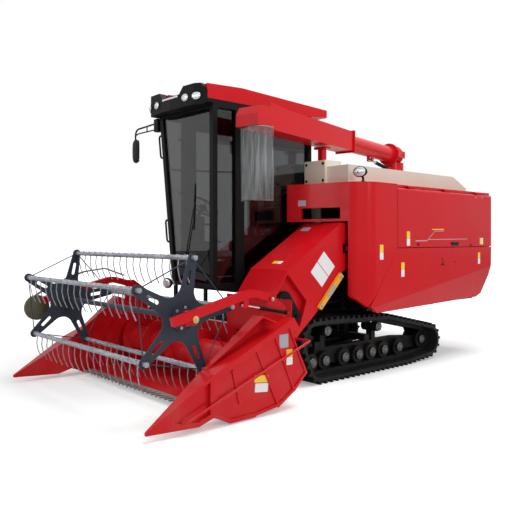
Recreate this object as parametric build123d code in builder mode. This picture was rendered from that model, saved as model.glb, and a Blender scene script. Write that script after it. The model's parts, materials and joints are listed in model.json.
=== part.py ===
from build123d import *

import math
import os

# Tracked combine harvester, all sizes in millimetres.
# The header faces -Y, the machine's left side is +X, +Z is up and the ground is Z = 0.
# The origin is on the ground below the middle of the whole machine.

os.makedirs("parts", exist_ok=True)

# ---------------------------------------------------------------- driving dimensions
# Body and covers
HALF_LENGTH = 2750          # divider tip at the front, rear cover at the back
BODY_LEFT = 1150            # outer face of the left covers
BODY_RIGHT = -1120          # outer face of the right cover
BODY_TOP = 2140             # top of the left covers
COVER = 38                  # thickness of a moulded cover with its folded edge
FASCIA_SKIN = 30            # thickness of the front cover
SEAM_Y = 612                # upright seam between the front cover and the side covers
SEAM_Z = 1418               # level seam between the upper and lower side covers
SEAM_GAP = 8                # gap along a seam
MOVE_GAP = 6                # gap between pieces that move past each other
PIN_GAP = 0.4               # radial gap of a pin or a tube in its bearing

# Frame
RAIL_X = (300, 380)         # inner and outer face of a frame rail
RAIL_Z = (600, 720)
RAIL_Y = (-400, HALF_LENGTH - 250)
DECK = 20                   # deck plate on the rails
TOW_PLATE = 25
TOW_PIN = 16                # radius of the towing pin's hole

# Tracks: one rubber belt a side, on a sprocket, an idler, carriers and rollers
TRACK_X = 655
BELT_WIDTH = 500
LUG_HEIGHT = 30
LUG_PITCH = 90
LUG_ROOT = 50
CARCASS = 35
GUIDE_HEIGHT = 40
GUIDE_WIDTH = 50
GUIDE_X = 75                # middle of a guide rib from the middle of the belt
ROLLER_RADIUS = 97
ROLLER_YS = (-366, -156, 166, 409, 647, 880, 1176)
SPROCKET_Y, SPROCKET_Z, SPROCKET_RADIUS = -433, 455, 129
IDLER_Y, IDLER_Z, IDLER_RADIUS = 1650, 250, 109
CARRIERS = ((-130, 525), (760, 490))
CARRIER_RADIUS = 59
BEAM_HALF = 40              # half the width of the beam that carries the rollers
BEAM_TOP = 330
RUN_GAP = 1                 # between a roller's rim and the guide ribs
ROLLER_Z = LUG_HEIGHT + CARCASS + GUIDE_HEIGHT + RUN_GAP + ROLLER_RADIUS

# Cab
CAB_LEFT, CAB_RIGHT = 190, -830
CAB_FOOT = -560             # foot of the right front post, which leans outwards
CAB_FRONT, CAB_REAR = -1250, 230
CAB_FLOOR, CAB_TOP = 1010, 2980
POST = 60                   # section of a cab post
GLASS = 6
DOOR_POST = (-945, -823)    # post between the front side glass and the door
ROOF_TOP = CAB_TOP + 170

# Feeder house and header
PIVOT_Y, PIVOT_Z = 20, 1420             # header lift axis
PIVOT_PIN = 25
PIVOT_GAP = 6               # between the feeder house and the cheeks that hold its pivot
FEEDER_X = (340, 900)
HEADER_HALF = 1180          # inner width of the header, each side of the middle
SHEET = 8                   # header sheet
AUGER_Y, AUGER_Z = -1350, 350
AUGER_RADIUS, DRUM_RADIUS = 250, 150
TROUGH_GAP = 18
TROUGH = AUGER_RADIUS + TROUGH_GAP
HEADER_BACK = AUGER_Y + TROUGH
KNIFE_Y = -1940
DIVIDER_X = (HEADER_HALF + 14, HEADER_HALF + 200)

# Reel
REEL_Y, REEL_Z = -2250, 875
REEL_RADIUS = 500
REEL_PHASE = 6.3            # turn of the first bat above the level rear direction
BAT_COUNT = 5
BAT_TUBE = 21
BAT_HALF = HEADER_HALF - 49
STAR_X = (HEADER_HALF - 105, HEADER_HALF - 95)
SHAFT_RADIUS = 25
TINE_WIRE = 7
TINE_COUNT = 17
TINE_PITCH = 125
ARM_X = (HEADER_HALF + 30, HEADER_HALF + 90)
ARM_PIVOT_Y, ARM_PIVOT_Z = -1430, 990
CYLINDER_FOOT = (-1215, 850)
CYLINDER_EYE = (-1720, 950)

# Grain tank and unloading auger
TANK_TOP = 2345
TANK_LEFT = 870
SPOUT_X, SPOUT_Y, SPOUT_Z = 620, -950, 2740
ELBOW_X, ELBOW_Y, ELBOW_Z = 50, 2050, 2690
TUBE_RADIUS = 105


# ---------------------------------------------------------------- helpers
def block(x, y, z, mode=Mode.ADD):
    """Add a box, given its low and high X, Y and Z, to the part being built."""
    middle = ((x[0] + x[1]) / 2, (y[0] + y[1]) / 2, (z[0] + z[1]) / 2)
    with Locations(middle):
        Box(x[1] - x[0], y[1] - y[0], z[1] - z[0], mode=mode)


def side_profile(outline, x, mode=Mode.ADD):
    """Extrude an outline of (y, z) points from the first X to the second."""
    with BuildSketch(Plane.YZ.offset(x[0])) as profile:
        with BuildLine():
            Polyline(*outline, close=True)
        make_face()
    extrude(profile.sketch, amount=x[1] - x[0], mode=mode)


def front_profile(outline, y, mode=Mode.ADD):
    """Extrude an outline of (x, z) points from the first Y to the second."""
    with BuildSketch(Plane.XZ.offset(-y[1])) as profile:
        with BuildLine():
            Polyline(*outline, close=True)
        make_face()
    extrude(profile.sketch, amount=y[1] - y[0], mode=mode)


def plan_profile(outline, z, mode=Mode.ADD):
    """Extrude an outline of (x, y) points from the first Z to the second."""
    with BuildSketch(Plane.XY.offset(z[0])) as profile:
        with BuildLine():
            Polyline(*outline, close=True)
        make_face()
    extrude(profile.sketch, amount=z[1] - z[0], mode=mode)


def bar_across(radius, y, z, x, mode=Mode.ADD):
    """Add a round bar along X at a given Y and Z."""
    with BuildSketch(Plane.YZ.offset(x[0])) as circle:
        with Locations((y, z)):
            Circle(radius)
    extrude(circle.sketch, amount=x[1] - x[0], mode=mode)


def bar_between(start, end, radius, mode=Mode.ADD):
    """Add a round bar from one point to another."""
    along = Vector(end) - Vector(start)
    with BuildSketch(Plane(origin=start, z_dir=along)) as circle:
        Circle(radius)
    extrude(circle.sketch, amount=along.length, mode=mode)


def bent_tube(points, radius, bend):
    """Add a round tube that follows points, with a bend of one radius at each."""
    with BuildLine() as path:
        FilletPolyline(*points, radius=bend)
    with BuildSketch(Plane(origin=path.line @ 0, z_dir=path.line % 0)) as section:
        Circle(radius)
    sweep(section.sketch, path=path.line)


def traced_strip(points, bend, width, x):
    """Extrude, along X, a strip of one width along (y, z) points with rounded bends."""
    with BuildSketch(Plane.YZ.offset(x[0])) as strip:
        with BuildLine() as middle:
            FilletPolyline(*points, radius=bend)
        trace(middle.line, line_width=width)
    extrude(strip.sketch, amount=x[1] - x[0])


def rounded_section(width, height, radius):
    """A rectangle from the origin, with the corner farthest from it rounded."""
    with BuildSketch() as section:
        Rectangle(width, height, align=(Align.MIN, Align.MIN))
        fillet(section.vertices().sort_by(Axis.Y)[-2:].sort_by(Axis.X)[-1:], radius)
    return section.sketch


def rib(start, end, width, x):
    """Add a straight rib between two (y, z) points, from the first X to the second."""
    along = (Vector(*end) - Vector(*start)).normalized()
    aside = Vector(-along.Y, along.X) * (width / 2)
    corners = [Vector(*start) + aside, Vector(*end) + aside, Vector(*end) - aside, Vector(*start) - aside]
    side_profile([(corner.X, corner.Y) for corner in corners], x)


def ram_barrel(foot, eye, side, length, bore, pin):
    """Add a hydraulic barrel with its foot eye, open towards the rod's eye."""
    along = (eye - foot).normalized()
    bar_between(foot, foot + along * 4 * pin, 1.2 * pin)
    bar_between(foot + along * 4 * pin, foot + along * length, bore * 1.7)
    bar_between(foot - side * 1.6 * pin, foot + side * 1.6 * pin, 2 * pin)
    bar_between(foot - side * 3 * pin, foot + side * 3 * pin, pin + PIN_GAP, mode=Mode.SUBTRACT)
    bar_between(foot + along * 5.5 * pin, foot + along * (length + 1), bore + PIN_GAP, mode=Mode.SUBTRACT)


def ram_rod(foot, eye, side, start, rod, pin, drift):
    """Add a hydraulic rod with its eye, which has room for the drift of an opened linkage."""
    along = (eye - foot).normalized()
    bar_between(foot + along * start, eye - along * 1.2 * pin, rod)
    bar_between(eye - side * 1.6 * pin, eye + side * 1.6 * pin, 1.5 * pin + drift + 4)
    bar_between(eye - side * 3 * pin, eye + side * 3 * pin, pin + drift, mode=Mode.SUBTRACT)


def save(part, name):
    """Label a finished part and write it."""
    part.label = name
    export_step(part, f"parts/{name}.step")


# ---------------------------------------------------------------- tracks
BELT_WHEELS = (
    (SPROCKET_Y, SPROCKET_Z, SPROCKET_RADIUS),
    (ROLLER_YS[0], ROLLER_Z, ROLLER_RADIUS),
    (ROLLER_YS[-1], ROLLER_Z, ROLLER_RADIUS),
    (IDLER_Y, IDLER_Z, IDLER_RADIUS),
    (CARRIERS[0][0], CARRIERS[0][1], CARRIER_RADIUS),
    (CARRIERS[1][0], CARRIERS[1][1], CARRIER_RADIUS),
)
GUIDE_IN = RUN_GAP
CARCASS_IN = GUIDE_IN + GUIDE_HEIGHT
CARCASS_OUT = CARCASS_IN + CARCASS


def belt_loop(gap):
    """The area inside a taut line round the belt's wheels, a gap outside their rims."""
    with BuildSketch() as loop:
        for y, z, radius in BELT_WHEELS:
            with Locations((y, z)):
                Circle(radius + gap)
        make_hull()
    return loop.sketch


def belt_section():
    """The belt's side outline: its carcass with the lugs standing outside it."""
    loop = belt_loop(CARCASS_OUT)
    line = loop.face().outer_wire()
    count = round(line.length / LUG_PITCH)
    middle = loop.face().center()
    with BuildSketch() as section:
        add(loop)
        for step in range(count):
            spot = line.position_at(step / count)
            along = line.tangent_at(step / count)
            angle = math.degrees(math.atan2(along.Y, along.X))
            left = Vector(-along.Y, along.X)
            flip = 0 if left.dot(spot - middle) > 0 else 180
            with Locations(Location((spot.X, spot.Y, 0), (0, 0, angle + flip))):
                Trapezoid(LUG_ROOT, 2 * LUG_HEIGHT, 78)
        add(belt_loop(CARCASS_IN), mode=Mode.SUBTRACT)
    return section.sketch


def guide_section():
    """The side outline of a guide rib inside the belt."""
    with BuildSketch() as section:
        add(belt_loop(CARCASS_IN + 2))
        add(belt_loop(GUIDE_IN), mode=Mode.SUBTRACT)
    return section.sketch


BELT_SECTION = belt_section()
GUIDE_SECTION = guide_section()


for side, name in ((1, "left"), (-1, "right")):
    low = side * TRACK_X - BELT_WIDTH / 2
    with BuildPart() as track:
        extrude(Plane.YZ.offset(low) * BELT_SECTION, amount=BELT_WIDTH)
        for guide in (-GUIDE_X, GUIDE_X):
            guide_low = side * TRACK_X + guide - GUIDE_WIDTH / 2
            extrude(Plane.YZ.offset(guide_low) * GUIDE_SECTION, amount=GUIDE_WIDTH)
    save(track.part, f"track_{name}")

# On each side a beam carries the rollers in pairs; the axle carries the toothed driving wheels.
SPROCKET_TEETH = 11
ROLLER_OUTER = GUIDE_X + GUIDE_WIDTH / 2
TRACK_WHEELS = [(y, ROLLER_Z, ROLLER_RADIUS) for y in ROLLER_YS]
TRACK_WHEELS += [(y, z, CARRIER_RADIUS) for y, z in CARRIERS]
TRACK_WHEELS += [(IDLER_Y, IDLER_Z, IDLER_RADIUS)]
with BuildPart() as undercarriage:
    for side in (1, -1):
        centre = side * TRACK_X
        beam_x = (centre - BEAM_HALF, centre + BEAM_HALF)
        for y, z, radius in TRACK_WHEELS:
            bar_across(radius, y, z, (centre - ROLLER_OUTER, centre - BEAM_HALF))
            bar_across(radius, y, z, (centre + BEAM_HALF, centre + ROLLER_OUTER))
            cap = sorted((centre + side * ROLLER_OUTER, centre + side * (ROLLER_OUTER + 18)))
            bar_across(radius * 0.42, y, z, cap)
        side_profile(
            ((ROLLER_YS[0] - 60, 150), (IDLER_Y + 45, 150), (IDLER_Y + 45, 300),
             (IDLER_Y - 150, 300), (ROLLER_YS[-1], BEAM_TOP), (-250, BEAM_TOP), (-290, 270),
             (ROLLER_YS[0] - 60, 270)), beam_x)
        for y, z in CARRIERS:
            block(beam_x, (y - 35, y + 35), (BEAM_TOP - 5, z + 35))
        with BuildSketch(Plane.YZ.offset(beam_x[0])) as wheel:
            with Locations((SPROCKET_Y, SPROCKET_Z)):
                Circle(SPROCKET_RADIUS)
                with PolarLocations(SPROCKET_RADIUS, SPROCKET_TEETH):
                    Rectangle(60, 34)
        extrude(wheel.sketch, amount=2 * BEAM_HALF)
        bar_across(70, SPROCKET_Y, SPROCKET_Z, sorted((side * 180, side * (TRACK_X - BEAM_HALF))))
    block((-180, 180), (-620, -250), (330, 600))
save(undercarriage.part, "undercarriage")

# ---------------------------------------------------------------- frame and drive
CROSS_TUBE = (BEAM_TOP, 400)
CROSS_YS = (-250, 600)
CAB_FOOT_YS = (-400, 100)
with BuildPart() as frame_rails:
    for side in (1, -1):
        block(sorted((side * RAIL_X[0], side * RAIL_X[1])), RAIL_Y, RAIL_Z)
save(frame_rails.part, "frame_rails")

# Members between the rails, and the low tubes that carry the track beams
with BuildPart() as cross_members:
    for y in (RAIL_Y[0], 480, 1500, RAIL_Y[1] - 80):
        block((-RAIL_X[0], RAIL_X[0]), (y, y + 80), RAIL_Z)
    for y in CROSS_YS:
        block((-TRACK_X - BEAM_HALF, TRACK_X + BEAM_HALF), (y, y + 80), CROSS_TUBE)
    # towing plate with its pin hole, behind the last member
    block((-60, 60), (RAIL_Y[1] - 10, RAIL_Y[1] + 100), (640, 640 + TOW_PLATE))
    with Locations((0, RAIL_Y[1] + 55, 640 + TOW_PLATE / 2)):
        Cylinder(TOW_PIN, 2 * TOW_PLATE, mode=Mode.SUBTRACT)
save(cross_members.part, "cross_members")

# Posts on the low tubes, the cab's feet and the foot of the header lift cylinder
BASE_Z = (CAB_FLOOR - 60, CAB_FLOOR)
LIFT_BASE_Y, LIFT_BASE_Z, LIFT_X = 250, 830, 620
with BuildPart() as brackets:
    for y in CROSS_YS:
        for side in (1, -1):
            block(sorted((side * RAIL_X[0], side * RAIL_X[1])), (y, y + 80), (CROSS_TUBE[1], RAIL_Z[0]))
    for y in CAB_FOOT_YS:
        block((-RAIL_X[1], -RAIL_X[0]), (y, y + 80), (RAIL_Z[1], BASE_Z[0]))
        block((100, CAB_LEFT), (y, y + 80), (RAIL_Z[1], BASE_Z[0]))
        block((100, RAIL_X[1]), (y, y + 80), (RAIL_Z[1], RAIL_Z[1] + 40))
    block((RAIL_X[0], LIFT_X + 60), (200, 300), (RAIL_Z[1], RAIL_Z[1] + 40))
    for cheek in (-45, 33):
        side_profile(((200, 755), (300, 755), (280, 860), (220, 860)),
                     (LIFT_X + cheek, LIFT_X + cheek + 12))
    bar_across(14, LIFT_BASE_Y, LIFT_BASE_Z, (LIFT_X - 45, LIFT_X + 45))
save(brackets.part, "frame_brackets")

# Decks under the engine and under the cab
with BuildPart() as decks:
    block((BODY_RIGHT + 35, 240), (260, RAIL_Y[1]), (RAIL_Z[1], RAIL_Z[1] + DECK))
    plan_profile(((CAB_FOOT, -950), (CAB_LEFT, -950), (CAB_LEFT, CAB_REAR), (CAB_RIGHT, CAB_REAR),
                  (CAB_RIGHT, DOOR_POST[0] + 20)), BASE_Z)
save(decks.part, "decks")

with BuildPart() as engine:
    block((-820, -250), (420, 1200), (RAIL_Z[1] + DECK, 1400))
save(engine.part, "engine")

# ---------------------------------------------------------------- body
SEPARATOR_X = (250, 1080)
SEPARATOR_Y = (340, HALF_LENGTH - 150)
SEPARATOR_TOP = 2100
with BuildPart() as separator:
    front_profile(((SEPARATOR_X[0], RAIL_Z[1]), (930, RAIL_Z[1]), (SEPARATOR_X[1], 1120),
                   (SEPARATOR_X[1], SEPARATOR_TOP), (SEPARATOR_X[0], SEPARATOR_TOP)), SEPARATOR_Y)
    front_profile(((SEPARATOR_X[0] + 12, RAIL_Z[1] + 12), (925, RAIL_Z[1] + 12), (SEPARATOR_X[1] - 12, 1125),
                   (SEPARATOR_X[1] - 12, SEPARATOR_TOP - 12), (SEPARATOR_X[0] + 12, SEPARATOR_TOP - 12)),
                  (SEPARATOR_Y[0] + 12, SEPARATOR_Y[1] - 12), mode=Mode.SUBTRACT)
    # rails that carry the lower cover and the front cover
    for z in (1180, 1340):
        block((SEPARATOR_X[1], BODY_LEFT - COVER), (700, 2500), (z, z + 40))
    block((SEPARATOR_X[1], BODY_LEFT - FASCIA_SKIN), (345, 560), (1960, 2060))
    block((SEPARATOR_X[1], BODY_LEFT - FASCIA_SKIN), (345, 500), (1340, 1380))
    # cheeks that hold the pivot of the feeder house
    for low in (FEEDER_X[0] - PIVOT_GAP - 16, FEEDER_X[1] + PIVOT_GAP):
        block((low, low + 16), (PIVOT_Y - 50, SEPARATOR_Y[0] + 5), (PIVOT_Z - 50, PIVOT_Z + 50))
        bar_across(PIVOT_PIN + PIN_GAP, PIVOT_Y, PIVOT_Z, (low - 5, low + 21), mode=Mode.SUBTRACT)
save(separator.part, "separator_body")

# The front cover wraps round the left corner and is cut away round the feeder.
CORNER = 150
FEEDER_CUT_X = 950
FASCIA_END = (205, -180)    # right end of the front cover, beside the cab
FASCIA_PLAN = (FASCIA_END, (1000, 26), (BODY_LEFT - FASCIA_SKIN / 2, 180), (BODY_LEFT - FASCIA_SKIN / 2, SEAM_Y))
FEEDER_CUT_Z = 1716
with BuildPart() as fascia:
    with BuildSketch(Plane.XY.offset(700)) as skin:
        with BuildLine():
            FilletPolyline(*FASCIA_PLAN, radius=CORNER)
        trace(line_width=FASCIA_SKIN)
    extrude(skin.sketch, amount=BODY_TOP - 700)
    side_profile(((-300, BODY_TOP), (SEAM_Y, BODY_TOP), (SEAM_Y, SEAM_Z - SEAM_GAP), (130, 790), (-20, 930),
                  (-300, 930)), (-10, BODY_LEFT + 10), mode=Mode.INTERSECT)
    block((-10, FEEDER_CUT_X), (-300, CORNER), (700, FEEDER_CUT_Z), mode=Mode.SUBTRACT)
    block((380, 860), (-300, 60), (1744, 1868), mode=Mode.SUBTRACT)
    # a top flange that reaches back to the tank and the separator
    plan_profile(((FASCIA_END[0], FASCIA_END[1] + 10), (930, 5), (1060, 90), (BODY_LEFT - 20, 250),
                  (BODY_LEFT - 20, SEAM_Y - 10), (TANK_LEFT + 10, SEAM_Y - 10), (TANK_LEFT + 10, 92),
                  (FASCIA_END[0], 92)),
                 (BODY_TOP - 30, BODY_TOP))
save(fascia.part, "front_fascia")

# The lower side cover is folded: below the fold it turns in towards the belly.
FOLD = ((665, 852), (HALF_LENGTH - 76, 1157))
FOLD_SLOPE = 14             # degrees that the lower part turns in
SIDE_REAR = HALF_LENGTH - 17
COVER_ROUND = 30
LOWER_OUTLINE = ((SEAM_Y + SEAM_GAP, SEAM_Z), (SIDE_REAR, SEAM_Z), (HALF_LENGTH - 60, 1039),
                 (HALF_LENGTH - 160, 800), (HALF_LENGTH - 269, 756), (274, 716), (138, 790))


def below_fold(depth):
    """The space outside the cover's turned-in lower face, moved inwards by a depth."""
    run = Vector(0, FOLD[1][0] - FOLD[0][0], FOLD[1][1] - FOLD[0][1])
    out = Vector(1, 0, 0).rotate(Axis((0, 0, 0), tuple(run)), FOLD_SLOPE)
    with BuildPart(mode=Mode.PRIVATE) as space:
        with Locations(Plane(origin=Vector(BODY_LEFT, *FOLD[0]) - out * depth, x_dir=run, z_dir=out)):
            Box(8000, 8000, 400, align=(Align.CENTER, Align.CENTER, Align.MIN))
    return space.part


with BuildPart() as side_lower:
    side_profile(LOWER_OUTLINE, (BODY_LEFT - 170, BODY_LEFT))
    add(below_fold(0), mode=Mode.SUBTRACT)
    with BuildPart(mode=Mode.PRIVATE) as inside:
        side_profile(((0, 600), (3000, 600), (3000, SEAM_Z + 10), (0, SEAM_Z + 10)),
                     (BODY_LEFT - 200, BODY_LEFT - COVER))
        add(below_fold(COVER), mode=Mode.SUBTRACT)
    add(inside.part, mode=Mode.SUBTRACT)
    corner = (BODY_LEFT - 170, 0, 600)
    extrude(Plane(origin=corner) * rounded_section(170, SIDE_REAR, COVER_ROUND), amount=1000, mode=Mode.INTERSECT)
save(side_lower.part, "side_cover_lower")

DOOR_HINGE_X, DOOR_HINGE_Z = 1128, 2122
HINGE_YS = (900, 1650, HALF_LENGTH - 350)
UPPER_Z = (SEAM_Z + SEAM_GAP, 2102)
with BuildPart() as side_upper:
    start = (BODY_LEFT - COVER, SEAM_Y + SEAM_GAP, UPPER_Z[0])
    end = (BODY_LEFT - COVER, SIDE_REAR, UPPER_Z[0])
    long = SIDE_REAR - SEAM_Y - SEAM_GAP
    high = UPPER_Z[1] - UPPER_Z[0]
    extrude(Plane(origin=end, x_dir=(1, 0, 0), z_dir=(0, -1, 0)) * rounded_section(COVER, high, COVER_ROUND),
            amount=long)
    extrude(Plane(origin=start) * rounded_section(COVER, long, COVER_ROUND), amount=high, mode=Mode.INTERSECT)
    for y in HINGE_YS:
        block((DOOR_HINGE_X - 6, DOOR_HINGE_X + 6), (y - 30, y + 30), (2100, DOOR_HINGE_Z))
        bar_between((DOOR_HINGE_X, y - 30, DOOR_HINGE_Z), (DOOR_HINGE_X, y + 30, DOOR_HINGE_Z), 12)
        bar_between((DOOR_HINGE_X, y - 31, DOOR_HINGE_Z), (DOOR_HINGE_X, y + 31, DOOR_HINGE_Z), 6 + PIN_GAP,
                    mode=Mode.SUBTRACT)
save(side_upper.part, "side_cover_upper")

# Covers on top of the left side, at the rear and on the right side
with BuildPart() as covers:
    block((TANK_LEFT + 10, 1100), (SEAM_Y, HALF_LENGTH - 150 - SEAM_GAP), (2110, BODY_TOP))
    block((TANK_LEFT + 10, 1080), (SEAM_Y, HALF_LENGTH - 150 - SEAM_GAP), (SEPARATOR_TOP, 2110))
    for y in HINGE_YS:
        for end in (y - 72, y + 32):
            block((1100, DOOR_HINGE_X), (end, end + 40), (DOOR_HINGE_Z - 6, DOOR_HINGE_Z + 6))
            bar_between((DOOR_HINGE_X, end, DOOR_HINGE_Z), (DOOR_HINGE_X, end + 40, DOOR_HINGE_Z), 12)
        bar_between((DOOR_HINGE_X, y - 40, DOOR_HINGE_Z), (DOOR_HINGE_X, y + 40, DOOR_HINGE_Z), 6)
    front_profile(((-1080, 1130), (250, 1130), (250, 1040), (1060, 1040), (1080, 1100), (1080, 1170),
                   (1100, 1170), (1100, BODY_TOP), (-1080, BODY_TOP)), (HALF_LENGTH - 150, HALF_LENGTH))
    side_profile(((260, RAIL_Z[1]), (2480, RAIL_Z[1]), (2480, 1140), (1700, 1140), (1290, 1440), (260, 1440)),
                 (BODY_RIGHT, BODY_RIGHT + 35))
save(covers.part, "body_covers")

# ---------------------------------------------------------------- grain tank
TANK_RIGHT = -1100
TANK_POST_X = (240, 560)
TANK_POST_TOP = 2420
TANK_REAR = HALF_LENGTH - 250
with BuildPart() as tank:
    side_profile(((330, 1460), (1300, 1460), (1700, 1150), (2300, 1150), (TANK_REAR, 1300),
                  (TANK_REAR + 50, 2207), (2230, TANK_TOP), (330, TANK_TOP)), (TANK_RIGHT, 240))
    side_profile(((100, SEPARATOR_TOP), (TANK_REAR + 50, SEPARATOR_TOP), (TANK_REAR + 50, 2207),
                  (2230, TANK_TOP), (100, TANK_TOP)), (240, TANK_LEFT))
    side_profile(((345, 1475), (1305, 1475), (1705, 1165), (2290, 1165), (TANK_REAR - 15, 1310),
                  (TANK_REAR + 30, 2200), (2225, TANK_TOP - 15), (345, TANK_TOP - 15)),
                 (TANK_RIGHT + 15, 225), mode=Mode.SUBTRACT)
save(tank.part, "grain_tank")

# Front box of the tank, which carries the rest of the unloading auger
with BuildPart() as tank_front:
    side_profile(((60, BODY_TOP), (100, BODY_TOP), (100, TANK_TOP), (340, TANK_TOP), (340, TANK_POST_TOP),
                  (60, TANK_POST_TOP)), TANK_POST_X)
save(tank_front.part, "tank_front")

# ---------------------------------------------------------------- cab
DOOR_AXIS = (CAB_RIGHT - 16, CAB_REAR - POST - 2)
DOOR_HINGE_ZS = (1350, 1950, 2600)
CAB_Z = (CAB_FLOOR + 40, CAB_TOP - 80)      # bottom and top of the windows


def lean_x(z):
    """X of the outer side of the leaning right front post at a height."""
    return CAB_FOOT + (CAB_RIGHT - CAB_FOOT) * (z - CAB_FLOOR) / (CAB_TOP - CAB_FLOOR)


SCREEN = ((lean_x(CAB_Z[0]) + POST, CAB_Z[0]), (CAB_LEFT - POST, CAB_Z[0]), (CAB_LEFT - POST, CAB_Z[1]),
          (lean_x(CAB_Z[1]) + POST, CAB_Z[1]))
with BuildPart() as cab_frame:
    plan_profile(((CAB_FOOT, CAB_FRONT), (CAB_LEFT, CAB_FRONT), (CAB_LEFT, CAB_REAR), (CAB_RIGHT, CAB_REAR),
                  (CAB_RIGHT, DOOR_POST[0])), (CAB_FLOOR, CAB_FLOOR + 40))
    for x in (CAB_RIGHT, CAB_LEFT - POST):
        block((x, x + POST), (CAB_REAR - POST, CAB_REAR), (CAB_FLOOR + 40, CAB_TOP))
        block((x, x + POST), DOOR_POST, (CAB_FLOOR + 40, CAB_TOP))
        block((x, x + POST), (CAB_FRONT, CAB_REAR), (CAB_TOP - 80, CAB_TOP))
    block((CAB_RIGHT, CAB_LEFT), (CAB_REAR - POST, CAB_REAR), (CAB_TOP - 80, CAB_TOP))
    front_profile(((CAB_FOOT, CAB_FLOOR), (CAB_LEFT, CAB_FLOOR), (CAB_LEFT, CAB_TOP), (CAB_RIGHT, CAB_TOP)),
                  (CAB_FRONT, CAB_FRONT + POST))
    front_profile(SCREEN, (CAB_FRONT - 1, CAB_FRONT + POST + 1), mode=Mode.SUBTRACT)
    # hinge straps and pins of the door
    for z in DOOR_HINGE_ZS:
        for end in (z - 44, z + 42):
            block((DOOR_AXIS[0] - 4, CAB_RIGHT), (DOOR_AXIS[1] + 6, DOOR_AXIS[1] + 46), (end, end + 40))
            bar_between((*DOOR_AXIS, end), (*DOOR_AXIS, end + 40), 10)
        bar_between((*DOOR_AXIS, z - 20), (*DOOR_AXIS, z + 50), 5)
save(cab_frame.part, "cab_frame")

ROOF_X = (-900, 192)
ROOF_Y = (-1360, 540)
ROOF_MID = (ROOF_X[0] + ROOF_X[1]) / 2
with BuildPart() as roof:
    side_profile(((ROOF_Y[0] + 40, CAB_TOP), (CAB_REAR, CAB_TOP), (ROOF_Y[1], CAB_TOP + 30),
                  (ROOF_Y[1], CAB_TOP + 110), (ROOF_Y[0] + 500, ROOF_TOP), (ROOF_Y[0] + 40, ROOF_TOP - 20)), ROOF_X)
    # the front dips between the two lamp housings
    with Locations((ROOF_MID, ROOF_Y[0] + 40, ROOF_TOP - 20)):
        Box(340, 320, 90, rotation=(12, 0, 0), mode=Mode.SUBTRACT)
    fillet(roof.edges().filter_by(Axis.Z).sort_by(Axis.Y)[-2:], 60)
save(roof.part, "cab_roof")

# The front of the roof: a lamp housing at each side, swept back at the corners, with a dip between
LAMP_HALF = 545             # half the width of the roof's front
with BuildPart() as roof_front:
    plan_profile(((ROOF_MID - LAMP_HALF, ROOF_Y[0] + 110), (ROOF_MID - LAMP_HALF, ROOF_Y[0] + 40),
                  (ROOF_MID - LAMP_HALF + 130, ROOF_Y[0] - 40), (ROOF_MID, ROOF_Y[0] - 60),
                  (ROOF_MID + LAMP_HALF - 130, ROOF_Y[0] - 40), (ROOF_MID + LAMP_HALF, ROOF_Y[0] + 40),
                  (ROOF_MID + LAMP_HALF, ROOF_Y[0] + 110)), (CAB_TOP - 60, ROOF_TOP - 10))
    front_profile([(ROOF_MID + dx, z) for dx, z in
                   ((-LAMP_HALF, CAB_TOP - 40), (-LAMP_HALF + 60, CAB_TOP - 60), (LAMP_HALF - 60, CAB_TOP - 60),
                    (LAMP_HALF, CAB_TOP - 40), (LAMP_HALF, CAB_TOP + 80), (LAMP_HALF - 70, ROOF_TOP - 10),
                    (230, ROOF_TOP - 10), (160, ROOF_TOP - 85), (-160, ROOF_TOP - 85), (-230, ROOF_TOP - 10),
                    (-LAMP_HALF + 70, ROOF_TOP - 10), (-LAMP_HALF, CAB_TOP + 80))],
                  (ROOF_Y[0] - 100, ROOF_Y[0] + 200), mode=Mode.INTERSECT)
    # it sits on the roof and on the cab's front beam
    block((ROOF_X[0] - 100, ROOF_X[1] + 100), (ROOF_Y[0] + 40, ROOF_Y[0] + 200), (CAB_TOP, ROOF_TOP + 20),
          mode=Mode.SUBTRACT)
save(roof_front.part, "roof_front")

SIDE_PANES = ((CAB_FRONT + POST, DOOR_POST[0]), (DOOR_POST[1], CAB_REAR - POST))
with BuildPart() as cab_glass:
    front_profile(SCREEN, (CAB_FRONT + 20, CAB_FRONT + 20 + GLASS))
    for pane in SIDE_PANES:
        block((CAB_LEFT - 40, CAB_LEFT - 40 + GLASS), pane, CAB_Z)
    block((CAB_RIGHT + POST, CAB_LEFT - POST), (CAB_REAR - 40, CAB_REAR - 40 + GLASS), CAB_Z)
    # the pane behind the leaning post is twisted
    panes = []
    for z in CAB_Z:
        front = Vector(lean_x(z) + 30, CAB_FRONT + POST, z)
        rear = Vector(CAB_RIGHT + 30, DOOR_POST[0], z)
        thick = Vector(GLASS, 0, 0)
        with BuildSketch(Plane.XY.offset(z)) as edge:
            with BuildLine():
                Polyline(*[(point.X, point.Y) for point in (front, rear, rear + thick, front + thick)],
                         close=True)
            make_face()
        panes.append(edge.sketch.face())
    loft(panes, ruled=True)
save(cab_glass.part, "cab_glass")

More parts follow.
